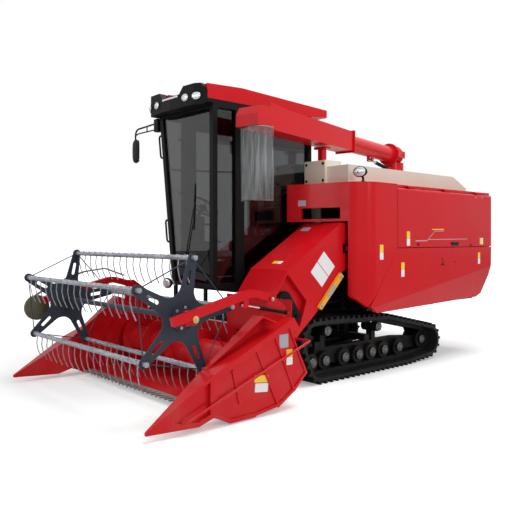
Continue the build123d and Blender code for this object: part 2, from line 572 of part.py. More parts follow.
# The door fills the right side behind the front post.
CAB_DOOR_Y = (DOOR_POST[1] + MOVE_GAP, CAB_REAR - POST - MOVE_GAP)
CAB_DOOR_Z = (CAB_FLOOR + 40 + MOVE_GAP, CAB_TOP - 80 - MOVE_GAP)
with BuildPart() as cab_door:
    block((CAB_RIGHT, CAB_RIGHT + 40), CAB_DOOR_Y, CAB_DOOR_Z)
    block((CAB_RIGHT, CAB_RIGHT + 40), (CAB_DOOR_Y[0] + 70, CAB_DOOR_Y[1] - 70),
          (CAB_DOOR_Z[0] + 250, CAB_DOOR_Z[1] - 70), mode=Mode.SUBTRACT)
    for z in DOOR_HINGE_ZS:
        block((DOOR_AXIS[0] - 4, CAB_RIGHT), (DOOR_AXIS[1] - 50, DOOR_AXIS[1]), (z, z + 38))
        bar_between((*DOOR_AXIS, z), (*DOOR_AXIS, z + 38), 10)
        bar_between((*DOOR_AXIS, z - 1), (*DOOR_AXIS, z + 39), 5 + PIN_GAP, mode=Mode.SUBTRACT)
save(cab_door.part, "cab_door")

with BuildPart() as door_glass:
    block((CAB_RIGHT + 16, CAB_RIGHT + 16 + GLASS), (CAB_DOOR_Y[0] + 70, CAB_DOOR_Y[1] - 70),
          (CAB_DOOR_Z[0] + 250, CAB_DOOR_Z[1] - 70))
save(door_glass.part, "cab_door_glass")

SEAT_X = (-560, -80)
SEAT_Y = -230
with BuildPart() as seat:
    side_profile(((SEAT_Y - 220, CAB_FLOOR + 360), (SEAT_Y + 300, CAB_FLOOR + 360),
                  (SEAT_Y + 380, CAB_FLOOR + 1080), (SEAT_Y + 290, CAB_FLOOR + 1080),
                  (SEAT_Y + 200, CAB_FLOOR + 470), (SEAT_Y - 220, CAB_FLOOR + 490)), SEAT_X)
save(seat.part, "seat")

with BuildPart() as console:
    block((-470, -170), (SEAT_Y - 60, SEAT_Y + 220), (CAB_FLOOR + 40, CAB_FLOOR + 360))
    block((CAB_LEFT - POST - 180, CAB_LEFT - POST), (-700, 100), (CAB_FLOOR + 40, CAB_FLOOR + 560))
    block((-380, -260), (-1150, -1020), (CAB_FLOOR + 40, CAB_FLOOR + 760))
    bar_between((-320, -1085, CAB_FLOOR + 740), (-320, -1000, CAB_FLOOR + 860), 20)
save(console.part, "console")

with BuildPart() as side_mirror:
    bent_tube(((CAB_RIGHT - 12, CAB_FRONT + 30, 2860), (-1310, CAB_FRONT - 40, 2830), (-1310, CAB_FRONT - 40, 2700)),
              11, 60)
    block((CAB_RIGHT - 20, CAB_RIGHT), (CAB_FRONT, CAB_FRONT + 60), (2820, CAB_TOP - 60))
    block((-1372, -1248), (CAB_FRONT - 60, CAB_FRONT - 20), (2430, 2744))
save(side_mirror.part, "mirror")

with BuildPart() as ladder:
    for y in (-930, -480):
        block((-1010, -960), (y, y + 30), (420, CAB_FLOOR - 30))
    for z in (450, 700):
        block((-1060, -912), (-900, -480), (z, z + 30))
    block((-1060, CAB_RIGHT), (-930, -300), (CAB_FLOOR - 30, CAB_FLOOR))
save(ladder.part, "cab_ladder")

# ---------------------------------------------------------------- unloading auger
AUGER_RUN = Vector(SPOUT_X, SPOUT_Y, SPOUT_Z) - Vector(ELBOW_X, ELBOW_Y, ELBOW_Z)
AUGER_SIDE = Vector(0, 0, 1).cross(AUGER_RUN).normalized()
AUGER_PLANE = Plane(origin=(ELBOW_X, ELBOW_Y, ELBOW_Z), x_dir=AUGER_RUN, z_dir=AUGER_RUN.cross(AUGER_SIDE))
AUGER_LENGTH = AUGER_RUN.length
HOUSING_START = 1366        # where the round tube enters the box housing
RAM_FOOT = (200, -200)
RAM_EYE = (700, -140)
RAM_DRIFT = 6
REST_ALONG = 1898           # where the auger's housing lies on its rest


def auger_point(along, up, aside=0):
    """A point by its way along the auger, above its axis and to its side."""
    return AUGER_PLANE.from_local_coords(Vector(along, aside, up))


with BuildPart() as turret:
    with BuildSketch(Plane.XY.offset(TANK_TOP)) as foot:
        with Locations((ELBOW_X, ELBOW_Y)):
            Circle(170)
    extrude(foot.sketch, amount=20)
    with BuildSketch(Plane.XY.offset(TANK_TOP + 20)) as neck:
        with Locations((ELBOW_X, ELBOW_Y)):
            Circle(135)
    extrude(neck.sketch, amount=90)
    # post under the auger's housing
    rest = auger_point(REST_ALONG, -115)
    block((rest.X - 35, rest.X + 35), (rest.Y - 35, rest.Y + 35), (TANK_POST_TOP, rest.Z - 40))
    block((rest.X - 90, rest.X + 90), (rest.Y - 45, rest.Y + 45), (rest.Z - 40, rest.Z - 14))
save(turret.part, "auger_turret")

def auger_block(along, aside, up, mode=Mode.ADD):
    """Add a box in the auger's own frame."""
    with Locations(AUGER_PLANE):
        block(along, aside, up, mode)


def auger_profile(outline, aside):
    """Extrude an outline of (along, up) points across the auger."""
    with BuildSketch(Plane(origin=auger_point(0, 0, aside[1]), x_dir=AUGER_RUN, z_dir=-AUGER_SIDE)) as profile:
        with BuildLine():
            Polyline(*outline, close=True)
        make_face()
    extrude(profile.sketch, amount=aside[1] - aside[0])


SWING_Z = TANK_TOP + 110 + MOVE_GAP
with BuildPart() as elbow:
    with BuildSketch(Plane.XY.offset(SWING_Z)) as neck:
        with Locations((ELBOW_X, ELBOW_Y)):
            Circle(135)
    extrude(neck.sketch, amount=120)
    with Locations((ELBOW_X, ELBOW_Y, ELBOW_Z)):
        Sphere(135)
    bar_between(auger_point(0, 0, -160), auger_point(0, 0, 160), 25)
    for cheek in (-36, 24):
        auger_block((110, 225), (cheek, cheek + 12), (-225, -175))
    bar_between(auger_point(RAM_FOOT[0], RAM_FOOT[1], -36), auger_point(RAM_FOOT[0], RAM_FOOT[1], 36), 10)
save(elbow.part, "auger_elbow")

with BuildPart() as auger_tube:
    bar_between(auger_point(145, 0), auger_point(HOUSING_START + 30, 0), TUBE_RADIUS)
    auger_profile(((HOUSING_START, -115), (AUGER_LENGTH, -115), (AUGER_LENGTH, 160), (AUGER_LENGTH - 260, 135),
                   (HOUSING_START + 60, 120), (HOUSING_START, 90)), (-115, 115))
    auger_block((HOUSING_START - 12, HOUSING_START), (-135, 135), (-135, 135))
    bar_between(auger_point(150, 0), auger_point(170, 0), 150)
    for cheek in (-153, 141):
        auger_block((-40, 170), (cheek, cheek + 12), (-45, 45))
    bar_between(auger_point(0, 0, -170), auger_point(0, 0, 170), 25 + PIN_GAP, mode=Mode.SUBTRACT)
    for cheek in (-36, 24):
        auger_block((RAM_EYE[0] - 30, RAM_EYE[0] + 30), (cheek, cheek + 12), (RAM_EYE[1] - 20, -90))
    bar_between(auger_point(RAM_EYE[0], RAM_EYE[1], -36), auger_point(RAM_EYE[0], RAM_EYE[1], 36), 10)
    auger_profile(((AUGER_LENGTH - 20, -105), (AUGER_LENGTH - 20, 110), (AUGER_LENGTH + 200, 95),
                   (AUGER_LENGTH + 250, 10), (AUGER_LENGTH + 250, -105)), (-140, 140))
save(auger_tube.part, "auger_tube")

RAM_SIDE = AUGER_PLANE.y_dir
with BuildPart() as auger_barrel:
    ram_barrel(auger_point(*RAM_FOOT), auger_point(*RAM_EYE), RAM_SIDE, 340, 14, 10)
save(auger_barrel.part, "auger_ram_barrel")

with BuildPart() as auger_rod:
    ram_rod(auger_point(*RAM_FOOT), auger_point(*RAM_EYE), RAM_SIDE, 100, 14, 10, RAM_DRIFT)
save(auger_rod.part, "auger_ram_rod")

with BuildPart() as curtain:
    auger_block((AUGER_LENGTH + 235, AUGER_LENGTH + 239), (-135, 135), (-850, -105))
save(curtain.part, "spout_curtain")

# ---------------------------------------------------------------- feeder house
CREASE = (-860, 1210)
LIFT_EYE_Y, LIFT_EYE_Z = -330, 800
LIFT_PIN = 14
LIFT_DRIFT = 3
RECESS = 60                 # depth of the drive recess in the feeder's left side
with BuildPart() as feeder:
    side_profile(((HEADER_BACK + SHEET / 2, 200), (-681, 573), (-455, 749), (-71, 1147), (40, 1200), (40, 1690),
                  (-44, 1700), CREASE, (-1038, 977), (HEADER_BACK + SHEET / 2, 940)), FEEDER_X)
    side_profile(((-862, 1175), (-1015, 965), (-1040, 600), (-700, 610), (-590, 890)),
                 (FEEDER_X[1] - RECESS, FEEDER_X[1] + 1), mode=Mode.SUBTRACT)
    # throat, open to the header
    side_profile(((HEADER_BACK, 262), (-790, 540), (-790, 800), (HEADER_BACK, 590)),
                 (FEEDER_X[0] + 30, FEEDER_X[1] - RECESS - 30), mode=Mode.SUBTRACT)
    for low in (FEEDER_X[0] - PIVOT_GAP - 20, FEEDER_X[1] - 1):
        bar_across(PIVOT_PIN, PIVOT_Y, PIVOT_Z, (low, low + PIVOT_GAP + 21))
save(feeder.part, "feeder_house")

# Bracket for the rod of the header lift cylinder
with BuildPart() as lift_bracket:
    for cheek in (-45, 33):
        side_profile(((-400, 806), (-260, 951), (-290, 770), (-370, 770)), (LIFT_X + cheek, LIFT_X + cheek + 12))
    bar_across(LIFT_PIN, LIFT_EYE_Y, LIFT_EYE_Z, (LIFT_X - 45, LIFT_X + 45))
save(lift_bracket.part, "lift_bracket")

# Pulleys and belt of the header drive, in the recess
DRIVE_PULLEYS = ((-880, 900, 95), (-720, 745, 55))
with BuildPart() as feeder_drive:
    for y, z, radius in DRIVE_PULLEYS:
        bar_across(radius, y, z, (FEEDER_X[1] - RECESS, FEEDER_X[1] - 15))
        bar_across(radius * 0.35, y, z, (FEEDER_X[1] - 15, FEEDER_X[1] + 6))
    with BuildSketch() as belt:
        for y, z, radius in DRIVE_PULLEYS:
            with Locations((y, z)):
                Circle(radius + 8)
        make_hull()
    extrude(Plane.YZ.offset(FEEDER_X[1] - 45) * belt.sketch, amount=18)
save(feeder_drive.part, "feeder_drive")

with BuildPart() as prop:
    side_profile(((-440, 815), (-400, 785), (-50, 1120), (-95, 1160)), (FEEDER_X[1], FEEDER_X[1] + 35))
save(prop.part, "safety_prop")

LIFT_FOOT = Vector(LIFT_X, LIFT_BASE_Y, LIFT_BASE_Z)
LIFT_EYE = Vector(LIFT_X, LIFT_EYE_Y, LIFT_EYE_Z)
ACROSS = Vector(1, 0, 0)
with BuildPart() as lift_barrel:
    ram_barrel(LIFT_FOOT, LIFT_EYE, ACROSS, 430, 20, 14)
save(lift_barrel.part, "lift_barrel")

with BuildPart() as lift_rod:
    ram_rod(LIFT_FOOT, LIFT_EYE, ACROSS, 200, 20, LIFT_PIN, LIFT_DRIFT)
save(lift_rod.part, "lift_rod")

# ---------------------------------------------------------------- header
LOW_WALL = 640
HIGH_WALL = 950
HIGH_WALL_X = 215


def header_sheet(x, top):
    """The floor, the trough round the auger and the back wall, as one bent sheet."""
    with BuildSketch(Plane.YZ.offset(x[0])) as sheet:
        with BuildLine() as middle:
            Line((KNIFE_Y + 10, 55), (AUGER_Y - 120, AUGER_Z - TROUGH + 4))
            Line((AUGER_Y - 120, AUGER_Z - TROUGH + 4), (AUGER_Y, AUGER_Z - TROUGH))
            RadiusArc((AUGER_Y, AUGER_Z - TROUGH), (HEADER_BACK, AUGER_Z), -TROUGH)
            Line((HEADER_BACK, AUGER_Z), (HEADER_BACK, top))
        trace(middle.line, line_width=SHEET)
    extrude(sheet.sketch, amount=x[1] - x[0])


with BuildPart() as header:
    header_sheet((-HEADER_HALF, HIGH_WALL_X), LOW_WALL)
    header_sheet((HIGH_WALL_X, HEADER_HALF), HIGH_WALL)
    block((FEEDER_X[0] + 6, FEEDER_X[1] - 6), (HEADER_BACK - 80, HEADER_BACK + 10), (206, 600), mode=Mode.SUBTRACT)
    for x in (-HEADER_HALF, HEADER_HALF - SHEET):
        side_profile(((KNIFE_Y + 10, 52), (KNIFE_Y + 10, 140), (-1650, 560), (-1350, 700), (HEADER_BACK, 700),
                      (HEADER_BACK, 84), (AUGER_Y, 78)), (x, x + SHEET))
        bar_across(SHAFT_RADIUS + PIN_GAP, AUGER_Y, AUGER_Z, (x - 5, x + SHEET + 5), mode=Mode.SUBTRACT)
    block((-HEADER_HALF, FEEDER_X[0] - 10), (HEADER_BACK + 4, HEADER_BACK + 64), (LOW_WALL - 62, LOW_WALL))
    block((FEEDER_X[1] + 45, HEADER_HALF), (HEADER_BACK + 4, HEADER_BACK + 64), (LOW_WALL - 62, LOW_WALL))
    # posts that carry the reel arms and the feet of the reel cylinders
    for side in (1, -1):
        inner = sorted((side * HEADER_HALF, side * (HEADER_HALF + 14)))
        side_profile(((-1520, 500), (-1180, 500), (-1180, 900), (-1380, 1040), (-1480, 1040)), inner)
        bar_across(16, ARM_PIVOT_Y, ARM_PIVOT_Z, sorted((side * HEADER_HALF, side * (ARM_X[1] + MOVE_GAP + 6))))
        bar_across(10, CYLINDER_FOOT[0], CYLINDER_FOOT[1],
                   sorted((side * HEADER_HALF, side * (ARM_X[1] + MOVE_GAP))))
save(header.part, "header_frame")

# Dividers: a pressed sheet box at each end of the header, with a nose, ribs and a guard rod
NOSE_ROOT = -2154
NOSE_TIP_X = DIVIDER_X[1] - 60
PRESSING = 14               # depth of the pressed panel between the rails and the ribs
RIBS = (((-1953, 440), (-1879, 161)), ((-1695, 586), (-1432, 50)), ((-1475, 670), (-1240, 160)))
ROD_X = DIVIDER_X[1] + 13
with BuildPart() as dividers:
    side_profile(((NOSE_ROOT, 433), (-1249, 817), (-1175, 713), (-1278, 690), (-1079, 304), (-1235, 166),
                  (-1419, 60), (-1702, 25), (-1989, 25), (NOSE_ROOT, 91)), DIVIDER_X)
    side_profile(((-2120, 122), (-2120, 387), (-1310, 731), (-1105, 310), (-1250, 188), (-1425, 86),
                  (-1700, 50), (-1985, 50)), (DIVIDER_X[1] - PRESSING, DIVIDER_X[1] + 1), mode=Mode.SUBTRACT)
    for start, end in RIBS:
        rib(start, end, 20, (DIVIDER_X[1] - PRESSING, DIVIDER_X[1] - 1))
    block((DIVIDER_X[0] + 20, DIVIDER_X[1]), (-1985, -1705), (15, 26))
    # nose, from its root over the kink in its keel to the tip
    sections = []
    for y, inner, outer, low, high in ((NOSE_ROOT, DIVIDER_X[0], DIVIDER_X[1], 91, 433),
                                       (-2291, DIVIDER_X[0] + 29, DIVIDER_X[1] - 11, 43, 352),
                                       (-HALF_LENGTH, NOSE_TIP_X - 12, NOSE_TIP_X + 12, 56, 80)):
        with BuildSketch(Plane.XZ.offset(-y)) as section:
            with Locations(((inner + outer) / 2, (low + high) / 2)):
                Rectangle(outer - inner, high - low)
        sections.append(section.sketch.face())
    loft(sections, ruled=True)
    side_profile(((-2185, 125), (-2185, 385), (-2560, 160), (-2500, 105), (-2300, 80)),
                 (DIVIDER_X[1] - 38, DIVIDER_X[1] + 5), mode=Mode.SUBTRACT)
    # sloping panel that leads the crop over the box
    with BuildPart(mode=Mode.PRIVATE) as panel:
        side_profile(((NOSE_ROOT - 10, 420), (-1572, 851), (-1434, 796), (-1444, 786), (-1572, 838),
                      (NOSE_ROOT + 20, 430)), (DIVIDER_X[0], DIVIDER_X[1]))
        plan_profile(((DIVIDER_X[0] + 30, NOSE_ROOT - 20), (DIVIDER_X[1] - 30, -1430), (DIVIDER_X[1] + 30, -1430),
                      (DIVIDER_X[1] + 30, NOSE_ROOT - 20)), (300, 900), mode=Mode.SUBTRACT)
    add(panel.part)
    side_profile(((NOSE_ROOT, 425), (-1572, 845), (-1434, 790), (-1434, 700)), (DIVIDER_X[0], DIVIDER_X[0] + 10))
    # guard rod outside the ribs
    bent_tube(((DIVIDER_X[1] - 30, -2450, 100), (ROD_X, -2405, 114), (ROD_X, -1060, 590),
               (HEADER_HALF, -1060, 590)), 11, 8)
    mirror(about=Plane.YZ)
save(dividers.part, "dividers")

KNIFE_PITCH = 76.2
with BuildPart() as guards:
    block((-HEADER_HALF + SHEET, HEADER_HALF - SHEET), (KNIFE_Y - 20, KNIFE_Y + 6), (46, 62))
    guard_count = int(2 * (HEADER_HALF - 30) / KNIFE_PITCH)
    for step in range(guard_count):
        x = (step - (guard_count - 1) / 2) * KNIFE_PITCH
        plan_profile(((x - 14, KNIFE_Y - 20), (x + 14, KNIFE_Y - 20), (x + 3, KNIFE_Y - 110), (x - 3, KNIFE_Y - 110)),
                     (46, 62))
save(guards.part, "cutter_guards")

with BuildPart() as knife:
    block((60 - HEADER_HALF, HEADER_HALF - 60), (KNIFE_Y - 30, KNIFE_Y - 5), (67, 71))
    for step in range(guard_count - 1):
        x = (step - (guard_count - 2) / 2) * KNIFE_PITCH
        plan_profile(((x - 36, KNIFE_Y - 30), (x + 36, KNIFE_Y - 30), (x + 8, KNIFE_Y - 85), (x - 8, KNIFE_Y - 85)),
                     (67, 71))
save(knife.part, "knife")

# The header auger: two flights that carry the crop to the fingers in front of the feeder
FLIGHT_PITCH = 430
FLIGHT = 6
FEED_X = (FEEDER_X[0] + 20, FEEDER_X[1] - 20)
AUGER_END = HEADER_HALF - 30
FINGER_TURN = 60
with BuildPart() as header_auger:
    bar_across(DRUM_RADIUS, AUGER_Y, AUGER_Z, (-AUGER_END, AUGER_END))
    bar_across(SHAFT_RADIUS, AUGER_Y, AUGER_Z, (-HEADER_HALF, HEADER_HALF))
    for start, length, way in ((-AUGER_END + 5, FEED_X[0] + AUGER_END - 5, 1), (AUGER_END - 5, AUGER_END - 5 - FEED_X[1], -1)):
        middle = (AUGER_RADIUS + DRUM_RADIUS) / 2 - 2
        with BuildLine(mode=Mode.PRIVATE) as turn:
            Helix(pitch=FLIGHT_PITCH, height=length, radius=middle, center=(start, AUGER_Y, AUGER_Z),
                  direction=(way, 0, 0), lefthand=way < 0)
        begin = turn.line @ 0
        radial = begin - Vector(start, AUGER_Y, AUGER_Z)
        with BuildSketch(Plane(origin=begin, x_dir=radial, z_dir=turn.line % 0)) as blade:
            Rectangle(AUGER_RADIUS - DRUM_RADIUS + 4, FLIGHT)
        sweep(blade.sketch, path=turn.line, is_frenet=True)
    for row in range(6):
        x = FEED_X[0] + 60 + row * (FEED_X[1] - FEED_X[0] - 120) / 5
        turned = math.radians(FINGER_TURN * row)
        for half_turn in (0, math.pi):
            away = Vector(0, math.cos(turned + half_turn), math.sin(turned + half_turn))
            root = Vector(x, AUGER_Y, AUGER_Z) + away * (DRUM_RADIUS - 5)
            bar_between(root, root + away * (AUGER_RADIUS - DRUM_RADIUS - 5), 8)
save(header_auger.part, "header_auger")

# ---------------------------------------------------------------- reel
REEL_RAM_PIN = 9
ARM_LINE = ((-2457, 865), (-1640, 1056), (-1425, 996))
with BuildPart() as reel_arms:
    for side in (1, -1):
        x = sorted((side * ARM_X[0], side * ARM_X[1]))
        traced_strip(ARM_LINE, 260, 70, x)
        bar_across(30, ARM_PIVOT_Y, ARM_PIVOT_Z, x)
        bar_across(16 + PIN_GAP, ARM_PIVOT_Y, ARM_PIVOT_Z, (x[0] - 5, x[1] + 5), mode=Mode.SUBTRACT)
        for cheek in ((x[0], x[0] + 9), (x[1] - 9, x[1])):
            block(cheek, (CYLINDER_EYE[0] - 28, CYLINDER_EYE[0] + 28), (CYLINDER_EYE[1] - 20, 1010))
        bar_across(REEL_RAM_PIN, CYLINDER_EYE[0], CYLINDER_EYE[1], x)
        bearing = sorted((side * (ARM_X[0] - 45), side * ARM_X[0]))
        block(bearing, (REEL_Y - 55, REEL_Y + 55), (REEL_Z - 55, REEL_Z + 65))
        bar_across(SHAFT_RADIUS + PIN_GAP, REEL_Y, REEL_Z, (bearing[0] - 5, bearing[1] + 5), mode=Mode.SUBTRACT)
save(reel_arms.part, "reel_arms")

REEL_RAM_X = (ARM_X[0] + ARM_X[1]) / 2
REEL_RAM_DRIFT = 2
with BuildPart() as reel_barrels:
    for side in (1, -1):
        foot = Vector(side * REEL_RAM_X, *CYLINDER_FOOT)
        eye = Vector(side * REEL_RAM_X, *CYLINDER_EYE)
        ram_barrel(foot, eye, ACROSS, 330, 9, 10)
save(reel_barrels.part, "reel_ram_barrels")

with BuildPart() as reel_rods:
    for side in (1, -1):
        foot = Vector(side * REEL_RAM_X, *CYLINDER_FOOT)
        eye = Vector(side * REEL_RAM_X, *CYLINDER_EYE)
        ram_rod(foot, eye, ACROSS, 200, 9, REEL_RAM_PIN, REEL_RAM_DRIFT)
save(reel_rods.part, "reel_ram_rods")

# Belt drive of the reel: its round housing and the guard bent along the arm
GUARD_LINE = ((-2520, 915), (-2440, 960), (-2150, 1090), (-1960, 1150), (-1700, 1180), (-1450, 1090))
with BuildPart() as reel_drive:
    traced_strip(GUARD_LINE, 60, 12, (-ARM_X[1] - 50, -ARM_X[1]))
    bar_across(134, -2510, 783, (-1310, -ARM_X[1]))
save(reel_drive.part, "reel_drive")

ARM_TAPER = 84.5            # base angle of a star arm, which narrows outwards
ARM_HOLLOW = 120            # radius of the hollow between two arms
HUB_RADIUS = 118
TIE_ROD = 5
BAT_ANGLES = [math.radians(REEL_PHASE + 360 / BAT_COUNT * step) for step in range(BAT_COUNT)]
BAT_PLACES = [(REEL_Y + REEL_RADIUS * math.cos(turn), REEL_Z + REEL_RADIUS * math.sin(turn)) for turn in BAT_ANGLES]
with BuildPart() as stars:
    for side in (1, -1):
        x = sorted((side * STAR_X[0], side * STAR_X[1]))
        hub = Plane(origin=(x[0], REEL_Y, REEL_Z), x_dir=(0, 1, 0), z_dir=(1, 0, 0))
        with BuildSketch(hub) as star:
            with PolarLocations(REEL_RADIUS / 2, BAT_COUNT, start_angle=REEL_PHASE):
                Trapezoid(180, REEL_RADIUS, ARM_TAPER, rotation=-90)
            fillet(star.vertices().sort_by_distance((0, 0, 0))[:BAT_COUNT], ARM_HOLLOW)
            with PolarLocations(REEL_RADIUS, BAT_COUNT, start_angle=REEL_PHASE):
                Circle(42)
                Circle(BAT_TUBE + PIN_GAP, mode=Mode.SUBTRACT)
            with PolarLocations(REEL_RADIUS * 0.66, BAT_COUNT, start_angle=REEL_PHASE):
                SlotOverall(130, 34, mode=Mode.SUBTRACT)
        extrude(star.sketch, amount=x[1] - x[0])
        # pressed hub with a raised ring, and tie rods between the arms' tips
        bar_across(HUB_RADIUS, REEL_Y, REEL_Z, (x[0] - 8, x[1] + 8))
        with BuildSketch(Plane(origin=(x[0] - 14, REEL_Y, REEL_Z), x_dir=(0, 1, 0), z_dir=(1, 0, 0))) as ring:
            Circle(HUB_RADIUS)
            Circle(HUB_RADIUS - 14, mode=Mode.SUBTRACT)
        extrude(ring.sketch, amount=x[1] - x[0] + 28)
        tips = [Vector((x[0] + x[1]) / 2, y, z) for y, z in BAT_PLACES]
        for step in range(BAT_COUNT):
            tip, next_tip = tips[step], tips[(step + 1) % BAT_COUNT]
            along = (next_tip - tip).normalized()
            bar_between(tip + along * 30, next_tip - along * 30, TIE_ROD)
    bar_across(SHAFT_RADIUS, REEL_Y, REEL_Z, (-ARM_X[0] + 5, ARM_X[0] - 5))
save(stars.part, "reel_stars")

TINE_LINE = ((0, -BAT_TUBE + 4), (-8, -90), (8, -170), (45, -250))
for step, (y, z) in enumerate(BAT_PLACES):
    with BuildPart() as bat:
        bar_across(BAT_TUBE, y, z, (-BAT_HALF, BAT_HALF))
        for place in range(TINE_COUNT):
            x = (place - (TINE_COUNT - 1) / 2) * TINE_PITCH
            line = [(y + dy, z + dz) for dy, dz in TINE_LINE]
            with BuildSketch(Plane.YZ.offset(x - TINE_WIRE / 2)) as tine:
                with BuildLine() as middle:
                    Polyline(*line)
                trace(middle.line, line_width=TINE_WIRE)
            extrude(tine.sketch, amount=TINE_WIRE)
    save(bat.part, f"reel_bat_{step + 1}")
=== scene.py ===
"""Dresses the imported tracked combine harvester: materials, lamps, glass, seat, curtain, signs and trim."""
import json
import math

import bmesh
import bpy
from mathutils import Matrix, Vector
from mathutils.bvhtree import BVHTree


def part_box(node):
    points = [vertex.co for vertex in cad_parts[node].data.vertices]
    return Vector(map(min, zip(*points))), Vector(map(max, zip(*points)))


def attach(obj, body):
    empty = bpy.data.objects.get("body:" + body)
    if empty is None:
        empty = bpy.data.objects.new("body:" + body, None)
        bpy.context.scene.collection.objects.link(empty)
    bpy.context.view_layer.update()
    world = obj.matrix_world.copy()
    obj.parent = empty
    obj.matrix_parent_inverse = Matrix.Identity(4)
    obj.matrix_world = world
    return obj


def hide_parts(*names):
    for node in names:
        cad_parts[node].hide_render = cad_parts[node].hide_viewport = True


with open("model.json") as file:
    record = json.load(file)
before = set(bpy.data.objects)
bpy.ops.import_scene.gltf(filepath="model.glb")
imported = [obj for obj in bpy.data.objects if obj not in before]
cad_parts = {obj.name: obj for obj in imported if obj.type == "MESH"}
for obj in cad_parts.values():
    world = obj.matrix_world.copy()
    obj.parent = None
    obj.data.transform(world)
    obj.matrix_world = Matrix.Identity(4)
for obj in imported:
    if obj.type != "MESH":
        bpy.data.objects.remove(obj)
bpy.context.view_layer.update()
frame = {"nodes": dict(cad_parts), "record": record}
nodes = frame["nodes"]


# ---------------------------------------------------------------- materials
class Shader:
    """A Principled material, with short ways to add nodes to it."""

    def __init__(self, name, color, roughness, metallic=0.0):
        self.material = bpy.data.materials.new(name)
        self.material.use_nodes = True
        self.tree = self.material.node_tree
        self.bsdf = self.tree.nodes["Principled BSDF"]
        self.bsdf.inputs["Base Color"].default_value = (*color, 1.0)
        self.bsdf.inputs["Roughness"].default_value = roughness
        self.bsdf.inputs["Metallic"].default_value = metallic
        self.coords = self.node("ShaderNodeTexCoord").outputs["Object"]

    def node(self, kind, **values):
        made = self.tree.nodes.new(kind)
        for key, value in values.items():
            if key in made.inputs:
                made.inputs[key].default_value = value
            else:
                setattr(made, key, value)
        return made

    def link(self, source, target):
        self.tree.links.new(source, target)

    def noise(self, scale, detail=4.0, stretch=None):
        made = self.node("ShaderNodeTexNoise", Scale=scale, Detail=detail)
        vector = self.coords
        if stretch:
            mapping = self.node("ShaderNodeMapping", Scale=stretch)
            self.link(vector, mapping.inputs["Vector"])
            vector = mapping.outputs["Vector"]
        self.link(vector, made.inputs["Vector"])
        return made.outputs["Fac"]

    def remap(self, value, start, end, low, high):
        made = self.node("ShaderNodeMapRange")
        made.inputs["From Min"].default_value = start
        made.inputs["From Max"].default_value = end
        made.inputs["To Min"].default_value = low
        made.inputs["To Max"].default_value = high
        self.link(value, made.inputs["Value"])
        return made.outputs["Result"]

    def math(self, operation, first, second):
        made = self.node("ShaderNodeMath", operation=operation)
        for socket, value in zip(made.inputs, (first, second)):
            if isinstance(value, float):
                socket.default_value = value
            else:
                self.link(value, socket)
        return made.outputs["Value"]

    def mix(self, factor, first, second):
        made = self.node("ShaderNodeMix", data_type="RGBA")
        self.link(factor, made.inputs["Factor"])
        for socket, value in ((made.inputs[6], first), (made.inputs[7], second)):
            if isinstance(value, tuple):
                socket.default_value = (*value[:3], 1.0)
            else:
                self.link(value, socket)
        return made.outputs[2]

    def bump(self, height, strength, distance):
        made = self.node("ShaderNodeBump", Strength=strength, Distance=distance)
        self.link(height, made.inputs["Height"])
        self.link(made.outputs["Normal"], self.bsdf.inputs["Normal"])

    def tint(self, output):
        self.link(output, self.bsdf.inputs["Base Color"])

    def rough(self, output):
        self.link(output, self.bsdf.inputs["Roughness"])


def shade(color, factor):
    return tuple(min(1.0, part * factor) for part in color)


TONE_VARIATION = 0.06        # share by which a paint's tone differs over a panel
WAVE_STRENGTH = 0.012        # of the waves in painted sheet metal
DUST_TOP = 0.9               # height in metres up to which dust lies on the paint
DUST_COLOR = (0.36, 0.30, 0.23)


def paint(name, color, roughness, coat=0.0, dust=0.12, specular=0.5):
    """Sprayed sheet metal: faint waves, an uneven tone, and dust that thins out above the ground."""
    s = Shader(name, color, roughness)
    s.bsdf.inputs["Coat Weight"].default_value = coat
    s.bsdf.inputs["Coat Roughness"].default_value = 0.08
    s.bsdf.inputs["Specular IOR Level"].default_value = specular
    tone = s.mix(s.noise(2.3), shade(color, 1 - TONE_VARIATION), shade(color, 1 + TONE_VARIATION))
    split = s.node("ShaderNodeSeparateXYZ")
    s.link(s.coords, split.inputs["Vector"])
    height = s.remap(split.outputs["Z"], 0.0, DUST_TOP, 1.0, 0.0)
    patches = s.remap(s.noise(5.0, 5.0), 0.40, 0.80, 0.0, dust)
    s.tint(s.mix(s.math("MULTIPLY", height, patches), tone, DUST_COLOR))
    s.rough(s.remap(s.noise(2.0, 0.0), 0.3, 0.7, roughness - 0.03, roughness + 0.05))
    s.bump(s.noise(6.0, 0.0), WAVE_STRENGTH, 0.004)
    return s.material


def galvanised():
    """Hot-dip zinc: spangles, streaks along the tube and a few darker stains."""
    s = Shader("galvanised_zinc", (0.36, 0.38, 0.41), 0.38, 0.8)
    cells = s.node("ShaderNodeTexVoronoi", Scale=45.0)
    s.link(s.coords, cells.inputs["Vector"])
    grey = s.node("ShaderNodeSeparateColor")
    s.link(cells.outputs["Color"], grey.inputs["Color"])
    spangle = s.mix(grey.outputs["Red"], (0.30, 0.32, 0.36), (0.46, 0.48, 0.52))
    streak = s.remap(s.noise(30.0, 5.0, (0.15, 1.0, 1.0)), 0.42, 0.72, 0.0, 0.7)
    s.tint(s.mix(streak, spangle, (0.16, 0.17, 0.19)))
    s.rough(s.remap(grey.outputs["Green"], 0.0, 1.0, 0.32, 0.46))
    s.bump(s.noise(120.0, 2.0), 0.03, 0.001)
    return s.material


